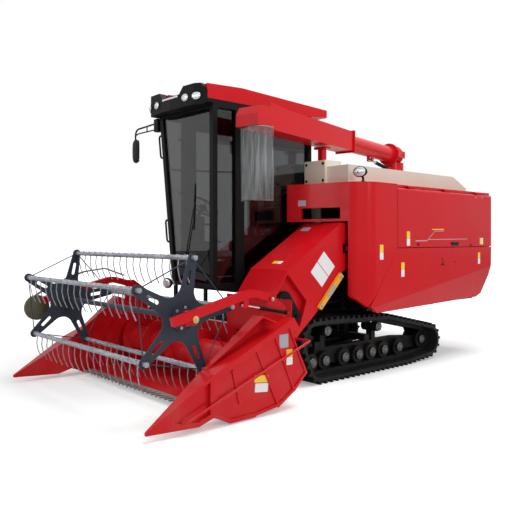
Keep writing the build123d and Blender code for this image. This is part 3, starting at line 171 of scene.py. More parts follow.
def bare_steel(name, color, roughness):
    """Ground steel with fine brushing across and light rust spots."""
    s = Shader(name, color, roughness, 0.9)
    brushed = s.noise(60.0, 6.0, (1.0, 14.0, 1.0))
    tone = s.mix(brushed, shade(color, 0.75), shade(color, 1.15))
    s.tint(s.mix(s.remap(s.noise(22.0, 8.0), 0.62, 0.8, 0.0, 0.5), tone, (0.20, 0.13, 0.09)))
    s.rough(s.remap(brushed, 0.3, 0.7, roughness - 0.08, roughness + 0.1))
    s.bump(brushed, 0.05, 0.0006)
    return s.material


def rubber():
    """Black belt rubber with dust in its hollows."""
    s = Shader("belt_rubber", (0.010, 0.010, 0.011), 0.72)
    s.bsdf.inputs["Specular IOR Level"].default_value = 0.2
    dusty = s.remap(s.noise(7.0, 10.0), 0.5, 0.8, 0.0, 0.35)
    tone = s.mix(s.noise(40.0), (0.006, 0.006, 0.0065), (0.014, 0.014, 0.015))
    s.tint(s.mix(dusty, tone, (0.035, 0.031, 0.027)))
    s.rough(s.remap(s.noise(25.0, 6.0), 0.3, 0.7, 0.5, 0.78))
    s.bump(s.noise(320.0, 5.0), 0.25, 0.001)
    return s.material


GRAIN_SCALE = 420.0          # cells per metre in moulded plastic


def plastic(name, color, roughness):
    """Moulded plastic with a fine leather-like grain."""
    s = Shader(name, color, roughness)
    s.bsdf.inputs["Specular IOR Level"].default_value = 0.25
    s.tint(s.mix(s.noise(5.0), shade(color, 0.9), shade(color, 1.12)))
    cells = s.node("ShaderNodeTexVoronoi", Scale=GRAIN_SCALE)
    s.link(s.coords, cells.inputs["Vector"])
    s.rough(s.remap(cells.outputs["Distance"], 0.0, 0.8, roughness + 0.06, roughness - 0.05))
    s.bump(cells.outputs["Distance"], 0.15, 0.0008)
    return s.material


def fabric():
    """Grey seat cloth with a plain weave."""
    s = Shader("seat_weave", (0.07, 0.07, 0.078), 0.92)
    s.bsdf.inputs["Sheen Weight"].default_value = 0.35
    rows = s.node("ShaderNodeTexWave", Scale=160.0, bands_direction="X")
    columns = s.node("ShaderNodeTexWave", Scale=160.0, bands_direction="Z")
    s.link(s.coords, rows.inputs["Vector"])
    s.link(s.coords, columns.inputs["Vector"])
    weave = s.math("MULTIPLY", rows.outputs["Fac"], columns.outputs["Fac"])
    s.tint(s.mix(weave, (0.05, 0.05, 0.056), (0.12, 0.12, 0.13)))
    s.bump(weave, 0.3, 0.001)
    return s.material


def tinted_glass(name, color):
    """Smooth glass with an even tint that drifts a little over the pane."""
    s = Shader(name, color, 0.0)
    s.bsdf.inputs["Transmission Weight"].default_value = 1.0
    s.bsdf.inputs["IOR"].default_value = 1.45
    s.bsdf.inputs["Specular IOR Level"].default_value = 0.3
    s.tint(s.mix(s.noise(1.2), shade(color, 0.94), shade(color, 1.05)))
    return s.material


def clear_film():
    """Soft clear plastic with hanging folds and a milky bloom; its tint is streaked, dark in the folds as
    painted shade and pale on their crests as painted highlights.
    """
    s = Shader("clear_film", (0.93, 0.95, 0.95), 0.12)
    s.bsdf.inputs["Transmission Weight"].default_value = 0.93
    s.bsdf.inputs["IOR"].default_value = 1.3
    creases_and_painted_light = s.noise(34.0, 6.0, (1.0, 1.0, 0.08))
    # the tint's dark streaks are painted shade in the folds, its pale streaks painted highlights on the crests
    s.tint(s.mix(s.remap(creases_and_painted_light, 0.35, 0.7, 0.0, 1.0), (0.52, 0.58, 0.58), (0.98, 0.99, 0.99)))
    s.rough(s.remap(creases_and_painted_light, 0.3, 0.75, 0.04, 0.22))
    s.bump(creases_and_painted_light, 0.8, 0.006)
    return s.material


def lens():
    """Ribbed clear lamp lens over a bright reflector; its colour runs in dark and bright bands along each rib,
    painted shade and painted glints.
    """
    s = Shader("lamp_lens", (0.86, 0.88, 0.9), 0.08, 0.55)
    ribs_and_painted_glints = s.node("ShaderNodeTexWave", Scale=42.0, bands_direction="X")
    s.link(s.coords, ribs_and_painted_glints.inputs["Vector"])
    # dark and bright bands across each rib are painted shade and painted glints
    s.tint(s.mix(ribs_and_painted_glints.outputs["Fac"], (0.42, 0.44, 0.47), (0.97, 0.98, 1.0)))
    s.bsdf.inputs["Coat Weight"].default_value = 1.0
    s.bump(ribs_and_painted_glints.outputs["Fac"], 0.35, 0.002)
    return s.material


RED = (0.56, 0.005, 0.010)
MATERIALS = {
    "red_paint": paint("red_enamel", RED, 0.30, coat=0.12, specular=0.14),
    "star_blue": paint("star_blue_paint", (0.020, 0.028, 0.045), 0.48, specular=0.3),
    "cream_paint": paint("cream_enamel", (0.66, 0.63, 0.53), 0.36, coat=0.2, dust=0.1),
    "black_paint": paint("black_satin_paint", (0.0045, 0.0045, 0.005), 0.5, dust=0.08, specular=0.12),
    "grey_paint": paint("grey_engine_paint", (0.10, 0.11, 0.12), 0.45),
    "yellow_paint": paint("yellow_enamel", (0.80, 0.36, 0.02), 0.34, coat=0.2),
    "olive_paint": paint("olive_paint", (0.10, 0.09, 0.055), 0.5),
    "galvanised": galvanised(),
    "steel": bare_steel("cut_steel", (0.46, 0.455, 0.44), 0.40),
    "rod_chrome": bare_steel("chromed_rod", (0.72, 0.73, 0.75), 0.14),
    "track_rubber": rubber(),
    "cab_plastic": plastic("cab_plastic", (0.009, 0.009, 0.010), 0.58),
    "seat_fabric": fabric(),
    "cab_glass": tinted_glass("cab_glass_tint", (0.235, 0.24, 0.245)),
    "clear_curtain": clear_film(),
}
BRASS = bare_steel("brass_bolt", (0.60, 0.42, 0.16), 0.3)
LABEL_WHITE = paint("label_white", (0.78, 0.79, 0.79), 0.4, dust=0.05)
LABEL_YELLOW = paint("label_yellow", (0.86, 0.60, 0.03), 0.4, dust=0.05)
LABEL_GREY = paint("label_grey", (0.34, 0.35, 0.40), 0.38, dust=0.05)
STRIPE_GREY = paint("stripe_grey", (0.42, 0.33, 0.34), 0.35, dust=0.0)
LENS = lens()
MIRROR_FACE = tinted_glass("mirror_face", (0.7, 0.72, 0.74))
mirror_inputs = MIRROR_FACE.node_tree.nodes["Principled BSDF"].inputs
mirror_inputs["Transmission Weight"].default_value = 0.0
mirror_inputs["Metallic"].default_value = 1.0
BLACK = MATERIALS["black_paint"]
PLASTIC = MATERIALS["cab_plastic"]
STEEL = MATERIALS["steel"]
CHROME = MATERIALS["rod_chrome"]
SEAT_CLOTH = MATERIALS["seat_fabric"]

for part in frame["record"]["subparts"]:
    obj = nodes[part["node"]]
    obj.data.materials.clear()
    obj.data.materials.append(MATERIALS[part["material_slot"]])


# ---------------------------------------------------------------- mesh helpers
def finish_piece(obj, material, body, smooth=True):
    """Gives a piece its material and its body, with smooth faces unless told otherwise."""
    obj.data.materials.clear()
    obj.data.materials.append(material)
    if smooth and obj.type == "MESH":
        for face in obj.data.polygons:
            face.use_smooth = True
    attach(obj, body)
    return obj


def from_bmesh(name, mesh, material, body, slot=None, smooth=True):
    """Makes a finished piece from a bmesh, which is freed."""
    data = bpy.data.meshes.new(name)
    bmesh.ops.recalc_face_normals(mesh, faces=mesh.faces)
    mesh.to_mesh(data)
    mesh.free()
    obj = bpy.data.objects.new(name, data)
    bpy.context.scene.collection.objects.link(obj)
    return finish_piece(obj, material, body, smooth)


def add_modifier(obj, kind, **values):
    modifier = obj.modifiers.new(kind.title(), kind)
    for key, value in values.items():
        setattr(modifier, key, value)
    return modifier


def bevelled(obj, width, segments=3):
    """Rounds a piece's edges."""
    add_modifier(obj, "BEVEL", width=width, segments=segments, limit_method="ANGLE", angle_limit=0.6)
    add_modifier(obj, "WEIGHTED_NORMAL")
    return obj


def add_box(mesh, low, high):
    """Adds a box between two corners to a bmesh."""
    centre = (Vector(low) + Vector(high)) / 2
    size = Vector(high) - Vector(low)
    bmesh.ops.create_cube(mesh, size=1.0, matrix=Matrix.Translation(centre) @ Matrix.Diagonal((*size, 1.0)))


def boxes(name, corners, material, body, bevel=0.003, slot=None):
    """One piece of bevelled boxes, each between two corners."""
    mesh = bmesh.new()
    for low, high in corners:
        add_box(mesh, low, high)
    return bevelled(from_bmesh(name, mesh, material, body, slot), bevel)


def turn_to(axis):
    """The turn that takes Z to a direction."""
    return Vector((0, 0, 1)).rotation_difference(Vector(axis)).to_matrix().to_4x4()


def add_lathe(mesh, profile, origin, axis, steps=32):
    """Adds a turned form: profile is (radius, height) pairs along an axis from an origin."""
    place = Matrix.Translation(Vector(origin)) @ turn_to(axis)
    rings = []
    for radius, height in profile:
        ring = []
        for step in range(steps):
            angle = 2 * math.pi * step / steps
            spot = Vector((radius * math.cos(angle), radius * math.sin(angle), height))
            ring.append(mesh.verts.new(place @ spot))
        rings.append(ring)
    for first, second in zip(rings, rings[1:]):
        for step in range(steps):
            after = (step + 1) % steps
            mesh.faces.new((first[step], first[after], second[after], second[step]))
    mesh.faces.new(rings[0])
    mesh.faces.new(rings[-1])


def lathe(name, profile, origin, axis, material, body, slot=None, steps=32):
    """A turned piece with rounded edges."""
    mesh = bmesh.new()
    add_lathe(mesh, profile, origin, axis, steps)
    return bevelled(from_bmesh(name, mesh, material, body, slot), 0.0015, 2)


def tube(name, points, radius, material, body, slot=None, bend=0.05):
    """A tube that follows points, with each inner corner rounded."""
    points = [Vector(point) for point in points]
    path = [points[0]]
    for before, corner, after in zip(points, points[1:], points[2:]):
        reach = min(bend, (before - corner).length * 0.48, (after - corner).length * 0.48)
        start = corner + (before - corner).normalized() * reach
        end = corner + (after - corner).normalized() * reach
        for step in range(7):
            t = step / 6
            path.append(start * (1 - t) ** 2 + corner * 2 * t * (1 - t) + end * t ** 2)
    path.append(points[-1])
    curve = bpy.data.curves.new(name, "CURVE")
    curve.dimensions = "3D"
    curve.bevel_depth = radius
    curve.bevel_resolution = 4
    curve.use_fill_caps = True
    spline = curve.splines.new("POLY")
    spline.points.add(len(path) - 1)
    for spot, place in zip(spline.points, path):
        spot.co = (*place, 1.0)
    obj = bpy.data.objects.new(name, curve)
    bpy.context.scene.collection.objects.link(obj)
    return finish_piece(obj, material, body)


TREES = {}                   # search trees of the CAD nodes that lines were sent to


def hit(node, origin, direction):
    """Where a line from a point first meets a CAD node, and the face's direction there."""
    if node not in TREES:
        data = nodes[node].data
        TREES[node] = BVHTree.FromPolygons([vert.co.copy() for vert in data.vertices],
                                           [tuple(face.vertices) for face in data.polygons])
    place, normal, _, _ = TREES[node].ray_cast(Vector(origin), Vector(direction).normalized())
    if place is None:
        raise ValueError(f"nothing of {node} at {origin}")
    if normal.dot(Vector(direction)) > 0:
        normal = -normal
    return place, normal


PLATE_THICKNESS = 0.0015
PLATE_BEVEL = 0.0006


def plate(name, node, origin, direction, width, height, material, body, up=(0, 0, 1), corner=0.006):
    """A thin blank plate on a CAD node's face, with rounded corners."""
    place, normal = hit(node, origin, direction)
    across = Vector(up).cross(normal).normalized()
    upward = normal.cross(across).normalized()
    mesh = bmesh.new()
    outline = []
    for x, y, start in ((1, 1, 0), (-1, 1, 90), (-1, -1, 180), (1, -1, 270)):
        for step in range(5):
            angle = math.radians(start + 90 * step / 4)
            outline.append(((width / 2 - corner) * x + corner * math.cos(angle),
                            (height / 2 - corner) * y + corner * math.sin(angle)))
    rings = []
    for lift, inset in ((0.0, 0.0), (PLATE_THICKNESS * 0.6, 0.0), (PLATE_THICKNESS, PLATE_BEVEL)):
        ring = []
        for x, y in outline:
            shrink = 1 - 2 * inset / min(width, height)
            ring.append(mesh.verts.new(place + across * x * shrink + upward * y * shrink + normal * lift))
        rings.append(ring)
    for first, second in zip(rings, rings[1:]):
        for step in range(len(first)):
            after = (step + 1) % len(first)
            mesh.faces.new((first[step], first[after], second[after], second[step]))
    mesh.faces.new(rings[0])
    mesh.faces.new(rings[-1])
    from_bmesh(name, mesh, material, body, smooth=False)


SIGN_GAP = 0.002             # between the two fields of a sign


def two_part_plate(name, node, origin, direction, width, height, body, top=LABEL_YELLOW, low=LABEL_WHITE,
                   up=(0, 0, 1)):
    """A blank sign with an upper and a lower field."""
    origin = Vector(origin)
    lift = Vector(up).normalized() * height / 4
    for field, place, material in (("upper", origin + lift, top), ("lower", origin - lift, low)):
        plate(f"{name}_{field}", node, place, direction, width, height / 2 - SIGN_GAP, material, body, up)


WASHER = 1.6                 # a washer's radius as a share of its bolt's


def bolts(name, places, direction, radius, material, body, slot):
    """Hexagon bolts on washers."""
    mesh = bmesh.new()
    for place in places:
        add_lathe(mesh, ((radius * WASHER, 0.0), (radius * WASHER, radius * 0.25)), place, direction, 20)
        top = Vector(place) + Vector(direction).normalized() * radius * 0.25
        head = ((radius, 0.0), (radius, radius * 0.7), (radius * 0.85, radius * 0.85))
        add_lathe(mesh, head, top, direction, 6)
    from_bmesh(name, mesh, material, body, slot, smooth=False)


# what most small pieces on the machine's body share
TRIM = {"material": BLACK, "body": "chassis", "slot": "black_paint"}
MOULDED = {"material": PLASTIC, "body": "chassis", "slot": "cab_plastic"}


# ---------------------------------------------------------------- cab: seat, glass trim, rails, lamps
def soft_block(name, low, high, crown, material, body, slot):
    """A stuffed form between two corners: crowned faces, sides that pull in between the corners."""
    low, high = Vector(low), Vector(high)
    mesh = bmesh.new()
    add_box(mesh, low, high)
    bmesh.ops.subdivide_edges(mesh, edges=mesh.edges[:], cuts=9, use_grid_fill=True)
    middle = (low + high) / 2
    half = (high - low) / 2
    for vert in mesh.verts:
        part = Vector([(vert.co[i] - middle[i]) / half[i] for i in range(3)])
        for axis in range(3):
            first, second = (axis + 1) % 3, (axis + 2) % 3
            dome = (1 - part[first] ** 2) * (1 - part[second] ** 2)
            if abs(part[axis]) > 0.99:
                vert.co[axis] += math.copysign(crown * (dome - 0.6), part[axis])
    obj = from_bmesh(name, mesh, material, body, slot)
    bevelled(obj, 0.012, 3)
    add_modifier(obj, "SUBSURF", levels=1, render_levels=1)
    return obj


seat_low, seat_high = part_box("seat")
seat_x = (seat_low.x + 0.012, seat_high.x - 0.012)
cushion_top = seat_low.z + 0.125
seat_back_y = seat_low.y + 0.44
cushion = soft_block("seat_cushion", (seat_x[0], seat_low.y + 0.015, seat_low.z + 0.012),
                     (seat_x[1], seat_back_y, cushion_top), 0.014, SEAT_CLOTH, "chassis", "seat_fabric")
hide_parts("seat")


def leaned(obj, pivot, degrees):
    """Leans a piece back round a level line through a point."""
    pivot = Vector(pivot)
    turn = Matrix.Rotation(math.radians(degrees), 4, "X")
    obj.data.transform(Matrix.Translation(pivot) @ turn @ Matrix.Translation(-pivot))


for name, low, high in (("seat_back", 0.14, 0.54), ("seat_headrest", 0.56, 0.70)):
    inset = 0.0 if name == "seat_back" else 0.10
    pad = soft_block(name, (seat_x[0] + inset, seat_back_y - 0.01, seat_low.z + low),
                     (seat_x[1] - inset, seat_back_y + 0.08, seat_low.z + high), 0.012,
                     SEAT_CLOTH, "chassis", "seat_fabric")
    leaned(pad, (0, seat_back_y, seat_low.z + 0.12), -8)
for side, x in (("left", seat_x[1]), ("right", seat_x[0])):
    tube(f"seat_bolster_piping_{side}", [(x, seat_low.y + 0.03, cushion_top - 0.02),
                                         (x, seat_back_y - 0.02, cushion_top - 0.02)], 0.004, **MOULDED)
boxes("seat_shell", [((seat_x[0] + 0.02, seat_low.y + 0.02, seat_low.z),
                      (seat_x[1] - 0.02, seat_back_y + 0.02, seat_low.z + 0.014))], **MOULDED, bevel=0.004)

cab_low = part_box("cab_frame")[0]

# steering wheel over the console's column
wheel_at = Vector((-0.32, -0.99, 1.885))
wheel_axis = Vector((0, 0.575, 0.818))
wheel_turn = turn_to(wheel_axis)
rim = []
for step in range(33):
    angle = 2 * math.pi * step / 32
    spot = wheel_turn @ Vector((0.175 * math.cos(angle), 0.175 * math.sin(angle), 0))
    rim.append(wheel_at + spot)
tube("steering_rim", rim, 0.014, **MOULDED, bend=0.01)
for step in range(3):
    angle = math.radians(90 + 120 * step)
    spot = wheel_turn @ Vector((0.17 * math.cos(angle), 0.17 * math.sin(angle), 0))
    tube(f"steering_spoke_{step + 1}", [wheel_at - wheel_axis * 0.02, wheel_at + spot], 0.009, **MOULDED)
lathe("steering_hub", ((0.045, -0.03), (0.045, 0.0), (0.03, 0.012)), wheel_at, wheel_axis, **MOULDED)
# monitor on a stalk, levers on the side console, louvres under the windscreen
boxes("cab_monitor", [((-0.02, -0.86, 2.46), (0.115, -0.80, 2.60))], **MOULDED, bevel=0.006)
tube("monitor_stalk", [(0.11, -0.80, 2.50), (0.125, -0.70, 2.45), (0.135, -0.66, 2.20)], 0.009, **TRIM)
for index, y in enumerate((-0.52, -0.42, -0.32)):
    tube(f"console_lever_{index + 1}", [(0.04, y, 1.565), (0.03, y - 0.02, 1.66)], 0.006, CHROME,
         "chassis", "rod_chrome")
    lathe(f"lever_knob_{index + 1}", ((0.012, -0.004), (0.019, 0.012), (0.019, 0.03), (0.010, 0.042)),
          (0.03, y - 0.02, 1.65), (0, 0, 1), **MOULDED, steps=20)
louvres = []
for step in range(9):
    x = -0.46 + step * 0.055
    louvres.append(((x, -1.185, 1.425), (x + 0.032, -1.175, 1.465)))
boxes("dash_louvres", louvres, **MOULDED, bevel=0.002)
boxes("dash_panel", [((-0.50, -1.175, 1.08), (0.08, -1.16, 1.48)),
                     ((-0.50, -1.175, 1.48), (0.08, -1.05, 1.50))], **MOULDED, bevel=0.008)
# rails inside the cab's right side
INNER = cab_low.x + 0.075
for name, points in (
    ("inner_rail_upright",
     [(INNER, -1.01, 2.70), (INNER, -0.87, 2.66), (INNER, -0.87, 1.72), (INNER, -1.0, 1.68)]),
    ("inner_rail_upper", [(INNER, -1.10, 2.33), (INNER, -0.10, 2.37)]),
    ("inner_rail_middle", [(INNER + 0.01, -1.02, 2.07), (INNER + 0.01, -0.87, 2.07)]),
    ("inner_rail_lower", [(INNER, -0.94, 1.70), (INNER, -0.50, 1.70)]),
):
    tube(name, points, 0.012, **TRIM, bend=0.06)
boxes("headliner", [((cab_low.x + 0.07, -1.17, 2.895), (0.12, 0.16, 2.905))], **MOULDED, bevel=0.003)
# door handle
boxes("door_handle", [((cab_low.x - 0.004, -0.77, 1.62), (cab_low.x, -0.73, 1.80)),
                      ((cab_low.x - 0.022, -0.765, 1.64), (cab_low.x - 0.012, -0.735, 1.78)),
                      ((cab_low.x - 0.014, -0.765, 1.64), (cab_low.x - 0.003, -0.735, 1.655)),
                      ((cab_low.x - 0.014, -0.765, 1.765), (cab_low.x - 0.003, -0.735, 1.78))],
      PLASTIC, "cab_door", 0.003, "cab_plastic")


def front_post(z):
    """The leaning front post's outer edge at a height."""
    place, _ = hit("cab_frame", (-2.0, -1.22, z), (1, 0, 0))
    return place


for name, low, high in (("upper", 2.46, 2.72), ("lower", 1.49, 1.74)):
    bottom, top = front_post(low), front_post(high)
    out = Vector((-0.075, -0.005, 0))
    inward = Vector((0.004, 0, 0))
    tube(f"grab_handle_{name}", [top + inward, top + out, bottom + out, bottom + inward], 0.011,
         **TRIM, bend=0.05)
    bolts(f"grab_feet_{name}", [top, bottom], (-1, 0, 0), 0.012, **TRIM)


def lamp(name, place, facing, width, height, depth, body):
    """An oval lamp: a rim, a ribbed lens with a small bulb shield, and a bowl behind."""
    facing = Vector(facing).normalized()
    turn = facing.to_track_quat("Z", "Y").to_matrix().to_4x4()
    scale = Matrix.Diagonal((width / 2, height / 2, 1.0, 1.0))
    for part, profile, material, slot in (
        ("bowl", ((0.35, -depth), (0.80, -depth * 0.75), (1.0, -depth * 0.25), (1.0, 0.0), (0.90, 0.006)),
         PLASTIC, "cab_plastic"),
        ("lens", ((0.90, 0.002), (0.86, 0.009), (0.55, 0.014), (0.2, 0.016)), LENS, None),
        ("bulb", ((0.26, 0.014), (0.24, 0.019), (0.10, 0.021)), CHROME, "rod_chrome"),
    ):
        mesh = bmesh.new()
        add_lathe(mesh, profile, (0, 0, 0), (0, 0, 1), 40)
        move = Matrix.Translation(Vector(place)) @ turn @ scale
        bmesh.ops.transform(mesh, matrix=move, verts=mesh.verts[:])
        from_bmesh(f"{name}_{part}", mesh, material, body, slot)


for index, (x, z) in enumerate(((-0.795, 3.006), (-0.63, 3.012), (-0.085, 3.012), (0.085, 3.006))):
    place, normal = hit("roof_front", (x, -2.0, z), (0, 1, 0))
    facing = (normal + Vector((0, -1, 0)) * 0.6 + Vector((0.15 if x > -0.3 else -0.1, 0, 0))).normalized()
    lamp(f"roof_lamp_{index + 1}", place + facing * 0.002, facing, 0.115, 0.088, 0.02, "chassis")
place, _ = hit("roof_front", (-0.354, -2.0, 3.03), (0, 1, 0))
boxes("roof_light_strip", [((-0.50, place.y - 0.006, 3.035), (-0.21, place.y + 0.01, 3.055))],
      LENS, "chassis", 0.003)

# the round lamp on its stalk over the front cover
lamp_at = Vector((1.035, 0.09, 2.248))
lamp("corner_lamp", lamp_at, (0.12, -0.99, -0.05), 0.168, 0.118, 0.07, "chassis")
tube("corner_lamp_stalk", [(1.035, 0.15, 2.139), (1.035, 0.15, 2.19), (1.035, 0.13, 2.20)], 0.012,
     **TRIM, bend=0.02)
lathe("corner_lamp_foot", ((0.034, 0.0), (0.034, 0.006), (0.018, 0.014)), (1.035, 0.15, 2.139), (0, 0, 1),
      **TRIM)
# the work lamp low at the cab's right front
work_at = Vector((-1.075, -0.985, 0.985))
lamp("work_lamp", work_at, (0.25, -0.96, -0.1), 0.14, 0.13, 0.06, "chassis")
tube("work_lamp_stalk", [(-1.045, -0.925, 0.99), (-1.075, -0.94, 0.93), (-1.075, -0.955, 0.955)], 0.01,
     **TRIM, bend=0.02)

# wiper on the windscreen
tube("wiper_arm", [(-0.30, -1.236, 1.30), (-0.30, -1.242, 1.36), (-0.16, -1.242, 1.86)], 0.006,
     **TRIM, bend=0.02)
tube("wiper_blade", [(-0.175, -1.236, 1.62), (-0.145, -1.236, 2.12)], 0.007, **MOULDED)
boxes("wiper_motor", [((-0.34, -1.245, 1.26), (-0.26, -1.232, 1.32))], **MOULDED, bevel=0.004)

# ---------------------------------------------------------------- mirror
mirror_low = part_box("mirror")[0]
arm_y = cab_low.y + 0.03
mesh = bmesh.new()
head = Vector((mirror_low.x + 0.062, mirror_low.y + 0.03, 2.587))
add_lathe(mesh, ((0.25, -0.5), (0.72, -0.42), (0.97, -0.1), (1.0, 0.2), (0.97, 0.42), (0.93, 0.5)),
          (0, 0, 0), (0, 0, 1), 40)
for vert in mesh.verts:
    x, y = vert.co.x, vert.co.y
    power = max(abs(x), abs(y)) / max(1e-6, math.hypot(x, y))
    stretch = 1 + 0.22 * (1 / max(power, 0.7) - 1) / 0.43
    vert.co.x, vert.co.y = x * stretch * 0.055, y * stretch * 0.145
    vert.co.z *= 0.05
bmesh.ops.transform(mesh, matrix=Matrix.Translation(head) @ Matrix.Rotation(math.radians(-90), 4, "X"),
                    verts=mesh.verts[:])
mirror_head = from_bmesh("mirror_housing", mesh, **MOULDED)
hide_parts("mirror")
boxes("mirror_glass", [((head.x - 0.046, head.y + 0.022, head.z - 0.13),
                        (head.x + 0.046, head.y + 0.029, head.z + 0.13))],
      MIRROR_FACE, "chassis", 0.003)
bracket_x = cab_low.x
tube("mirror_arm_upper", [(bracket_x - 0.05, arm_y - 0.03, 2.87), (head.x + 0.04, head.y, 2.845),
                          (head.x, head.y, 2.80), (head.x, head.y, 2.72)], 0.010, **TRIM, bend=0.06)
tube("mirror_arm_lower", [(bracket_x - 0.05, arm_y - 0.03, 2.80), (head.x + 0.06, head.y, 2.79),
                          (head.x, head.y, 2.775)], 0.008, **TRIM, bend=0.03)
tube("mirror_arm_strut", [(-1.08, head.y + 0.02, 2.862), (-1.08, head.y + 0.02, 2.798)], 0.007, **TRIM)
boxes("mirror_bracket", [((bracket_x - 0.065, arm_y - 0.05, 2.77), (bracket_x + 0.02, arm_y + 0.02, 2.92))],
      **TRIM, bevel=0.008)

# ---------------------------------------------------------------- curtain under the auger's hood
curtain_low, curtain_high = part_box("spout_curtain")
COLUMNS, ROWS = 96, 44
FOLD_DEPTH, RIPPLE_DEPTH = 0.007, 0.002
SHEET_THICKNESS = 0.0015


def hanging_sheet(name, start, end, top, drop, folds):
    """A clear sheet that hangs from a line between two (x, y) points, with folds that deepen downwards."""
    start, end = Vector(start), Vector(end)
    width = (end - start).length
    along = (end - start).normalized()
    aside = Vector((-along.y, along.x))
    mesh = bmesh.new()
    grid = []
    for row in range(ROWS + 1):
        down = row / ROWS
        line = []
        for column in range(COLUMNS + 1):
            across = column / COLUMNS
            fold = math.sin(across * folds + 0.8 * math.sin(down * 2.2)) * FOLD_DEPTH * (0.2 + down)
            fold += math.sin(across * folds * 2.3 + down * 3.0) * RIPPLE_DEPTH * down
            spot = start + along * (width * column / COLUMNS) + aside * fold
            line.append(mesh.verts.new((spot.x, spot.y, top - drop * down)))
        grid.append(line)
    for row in range(ROWS):
        for column in range(COLUMNS):
            mesh.faces.new((grid[row][column], grid[row][column + 1], grid[row + 1][column + 1],
                            grid[row + 1][column]))
    sheet = from_bmesh(name, mesh, MATERIALS["clear_curtain"], "auger_boom", "clear_curtain")
    add_modifier(sheet, "SOLIDIFY", thickness=SHEET_THICKNESS, offset=0.0)
    return sheet


curtain_top = curtain_high.z - 0.002
curtain_drop = curtain_high.z - curtain_low.z - 0.006
front_left = (curtain_high.x - 0.012, curtain_low.y + 0.014)
front_right = (curtain_low.x + 0.012, curtain_high.y - 0.014)
boom = Vector((front_left[1] - front_right[1], front_right[0] - front_left[0])).normalized() * -1
front_curtain = hanging_sheet("spout_curtain_sheet", front_right, front_left, curtain_top, curtain_drop, 19.0)
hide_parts("spout_curtain")
side_front, side_back = (Vector(front_left) + boom * reach for reach in (0.008, 0.23))
hanging_sheet("spout_curtain_side", side_front, side_back, curtain_top, curtain_drop, 15.0)

# ---------------------------------------------------------------- signs, stripes, latches on the covers
LEFT = (-1, 0, 0)
BESIDE = 1.6                 # how far out the lines start that look for a face on the machine's side
cover_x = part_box("side_cover_upper")[1].x
SIGN_WIDTH, SIGN_HEIGHT = 0.062, 0.165
for name, node, y, z, body in (("sign_upper_front", "side_cover_upper", 0.821, 1.527, "side_door"),
                               ("sign_lower_front", "side_cover_lower", 0.714, 1.176, "chassis")):
    two_part_plate(name, node, (BESIDE, y, z), LEFT, SIGN_WIDTH, SIGN_HEIGHT, body)
two_part_plate("sign_lower_rear", "side_cover_lower", (BESIDE, 2.393, 1.272), LEFT, 0.055, 0.15, "chassis")
two_part_plate("sign_front_cover", "front_fascia", (BESIDE, 0.324, 1.378), LEFT, SIGN_WIDTH, SIGN_HEIGHT,
               "chassis")
for name, y, material in (("yellow", 2.432, LABEL_YELLOW), ("white", 2.475, LABEL_WHITE)):
    plate(f"sign_upper_rear_{name}", "side_cover_upper", (BESIDE, y, 1.494), LEFT, 0.04, 0.085, material,
          "side_door", corner=0.003)

STRIPE_THICKNESS = 0.0007


def stripe(name, points, width, material):
    """A thin painted line laid on the upper cover along (y, z) points."""
    mesh = bmesh.new()
    for start, end in zip(points, points[1:]):
        start, end = Vector(start), Vector(end)
        along = (end - start).normalized()
        aside = Vector((-along.y, along.x)) * width / 2
        corners = (start + aside, end + aside, end - aside, start - aside)
        low = [mesh.verts.new((cover_x, spot.x, spot.y)) for spot in corners]
        high = [mesh.verts.new((cover_x + STRIPE_THICKNESS, spot.x, spot.y)) for spot in corners]
        mesh.faces.new(high)
        for step in range(4):
            mesh.faces.new((low[step], low[(step + 1) % 4], high[(step + 1) % 4], high[step]))
    from_bmesh(name, mesh, material, "side_door", smooth=False)


stripe("stripe_lower", ((0.962, 1.500), (1.20, 1.502)), 0.012, STRIPE_GREY)
stripe("stripe_rise", ((1.20, 1.502), (1.36, 1.617), (1.56, 1.62)), 0.008, STRIPE_GREY)
stripe("stripe_rear", ((1.23, 1.516), (2.10, 1.522)), 0.008, STRIPE_GREY)
stripe("stripe_orange", ((1.30, 1.636), (1.56, 1.64)), 0.010, LABEL_YELLOW)

handle_at, _ = hit("side_cover_upper", (BESIDE, 1.805, 1.462), LEFT)
boxes("cover_handle", [
    ((cover_x - 0.001, handle_at.y - 0.085, 1.44), (cover_x + 0.004, handle_at.y + 0.085, 1.485)),
    ((cover_x + 0.003, handle_at.y - 0.075, 1.468), (cover_x + 0.016, handle_at.y + 0.075, 1.482)),
], PLASTIC, "side_door", 0.004, "cab_plastic")
for index, (y, z) in enumerate(((1.015, 1.459), (2.18, 1.445))):
    lathe(f"cover_catch_{index + 1}", ((0.014, 0.0), (0.014, 0.006), (0.006, 0.009)), (cover_x, y, z), (1, 0, 0),
          BLACK, "side_door", "black_paint", 24)
for index, (y, z) in enumerate(((1.53, 1.235), (1.80, 1.235), (1.53, 1.275))):
    place, normal = hit("side_cover_lower", (BESIDE, y, z), LEFT)
    lathe(f"lower_latch_{index + 1}", ((0.012, 0.0), (0.012, 0.002), (0.007, 0.003)), place, normal,
          **TRIM, steps=20)
latch_at, _ = hit("side_cover_lower", (BESIDE, 1.53, 1.215), LEFT)
boxes("lower_latch_slot", [((latch_at.x - 0.001, 1.495, 1.205), (latch_at.x + 0.003, 1.565, 1.22))],
      **TRIM, bevel=0.001)
for index, y in enumerate((2.31, 2.47)):
    place, normal = hit("side_cover_upper", (BESIDE, y, 2.06), LEFT)
    lathe(f"cover_pin_{index + 1}", ((0.010, 0.0), (0.010, 0.004), (0.006, 0.006)), place, normal,
          STEEL, "side_door", "steel", 20)

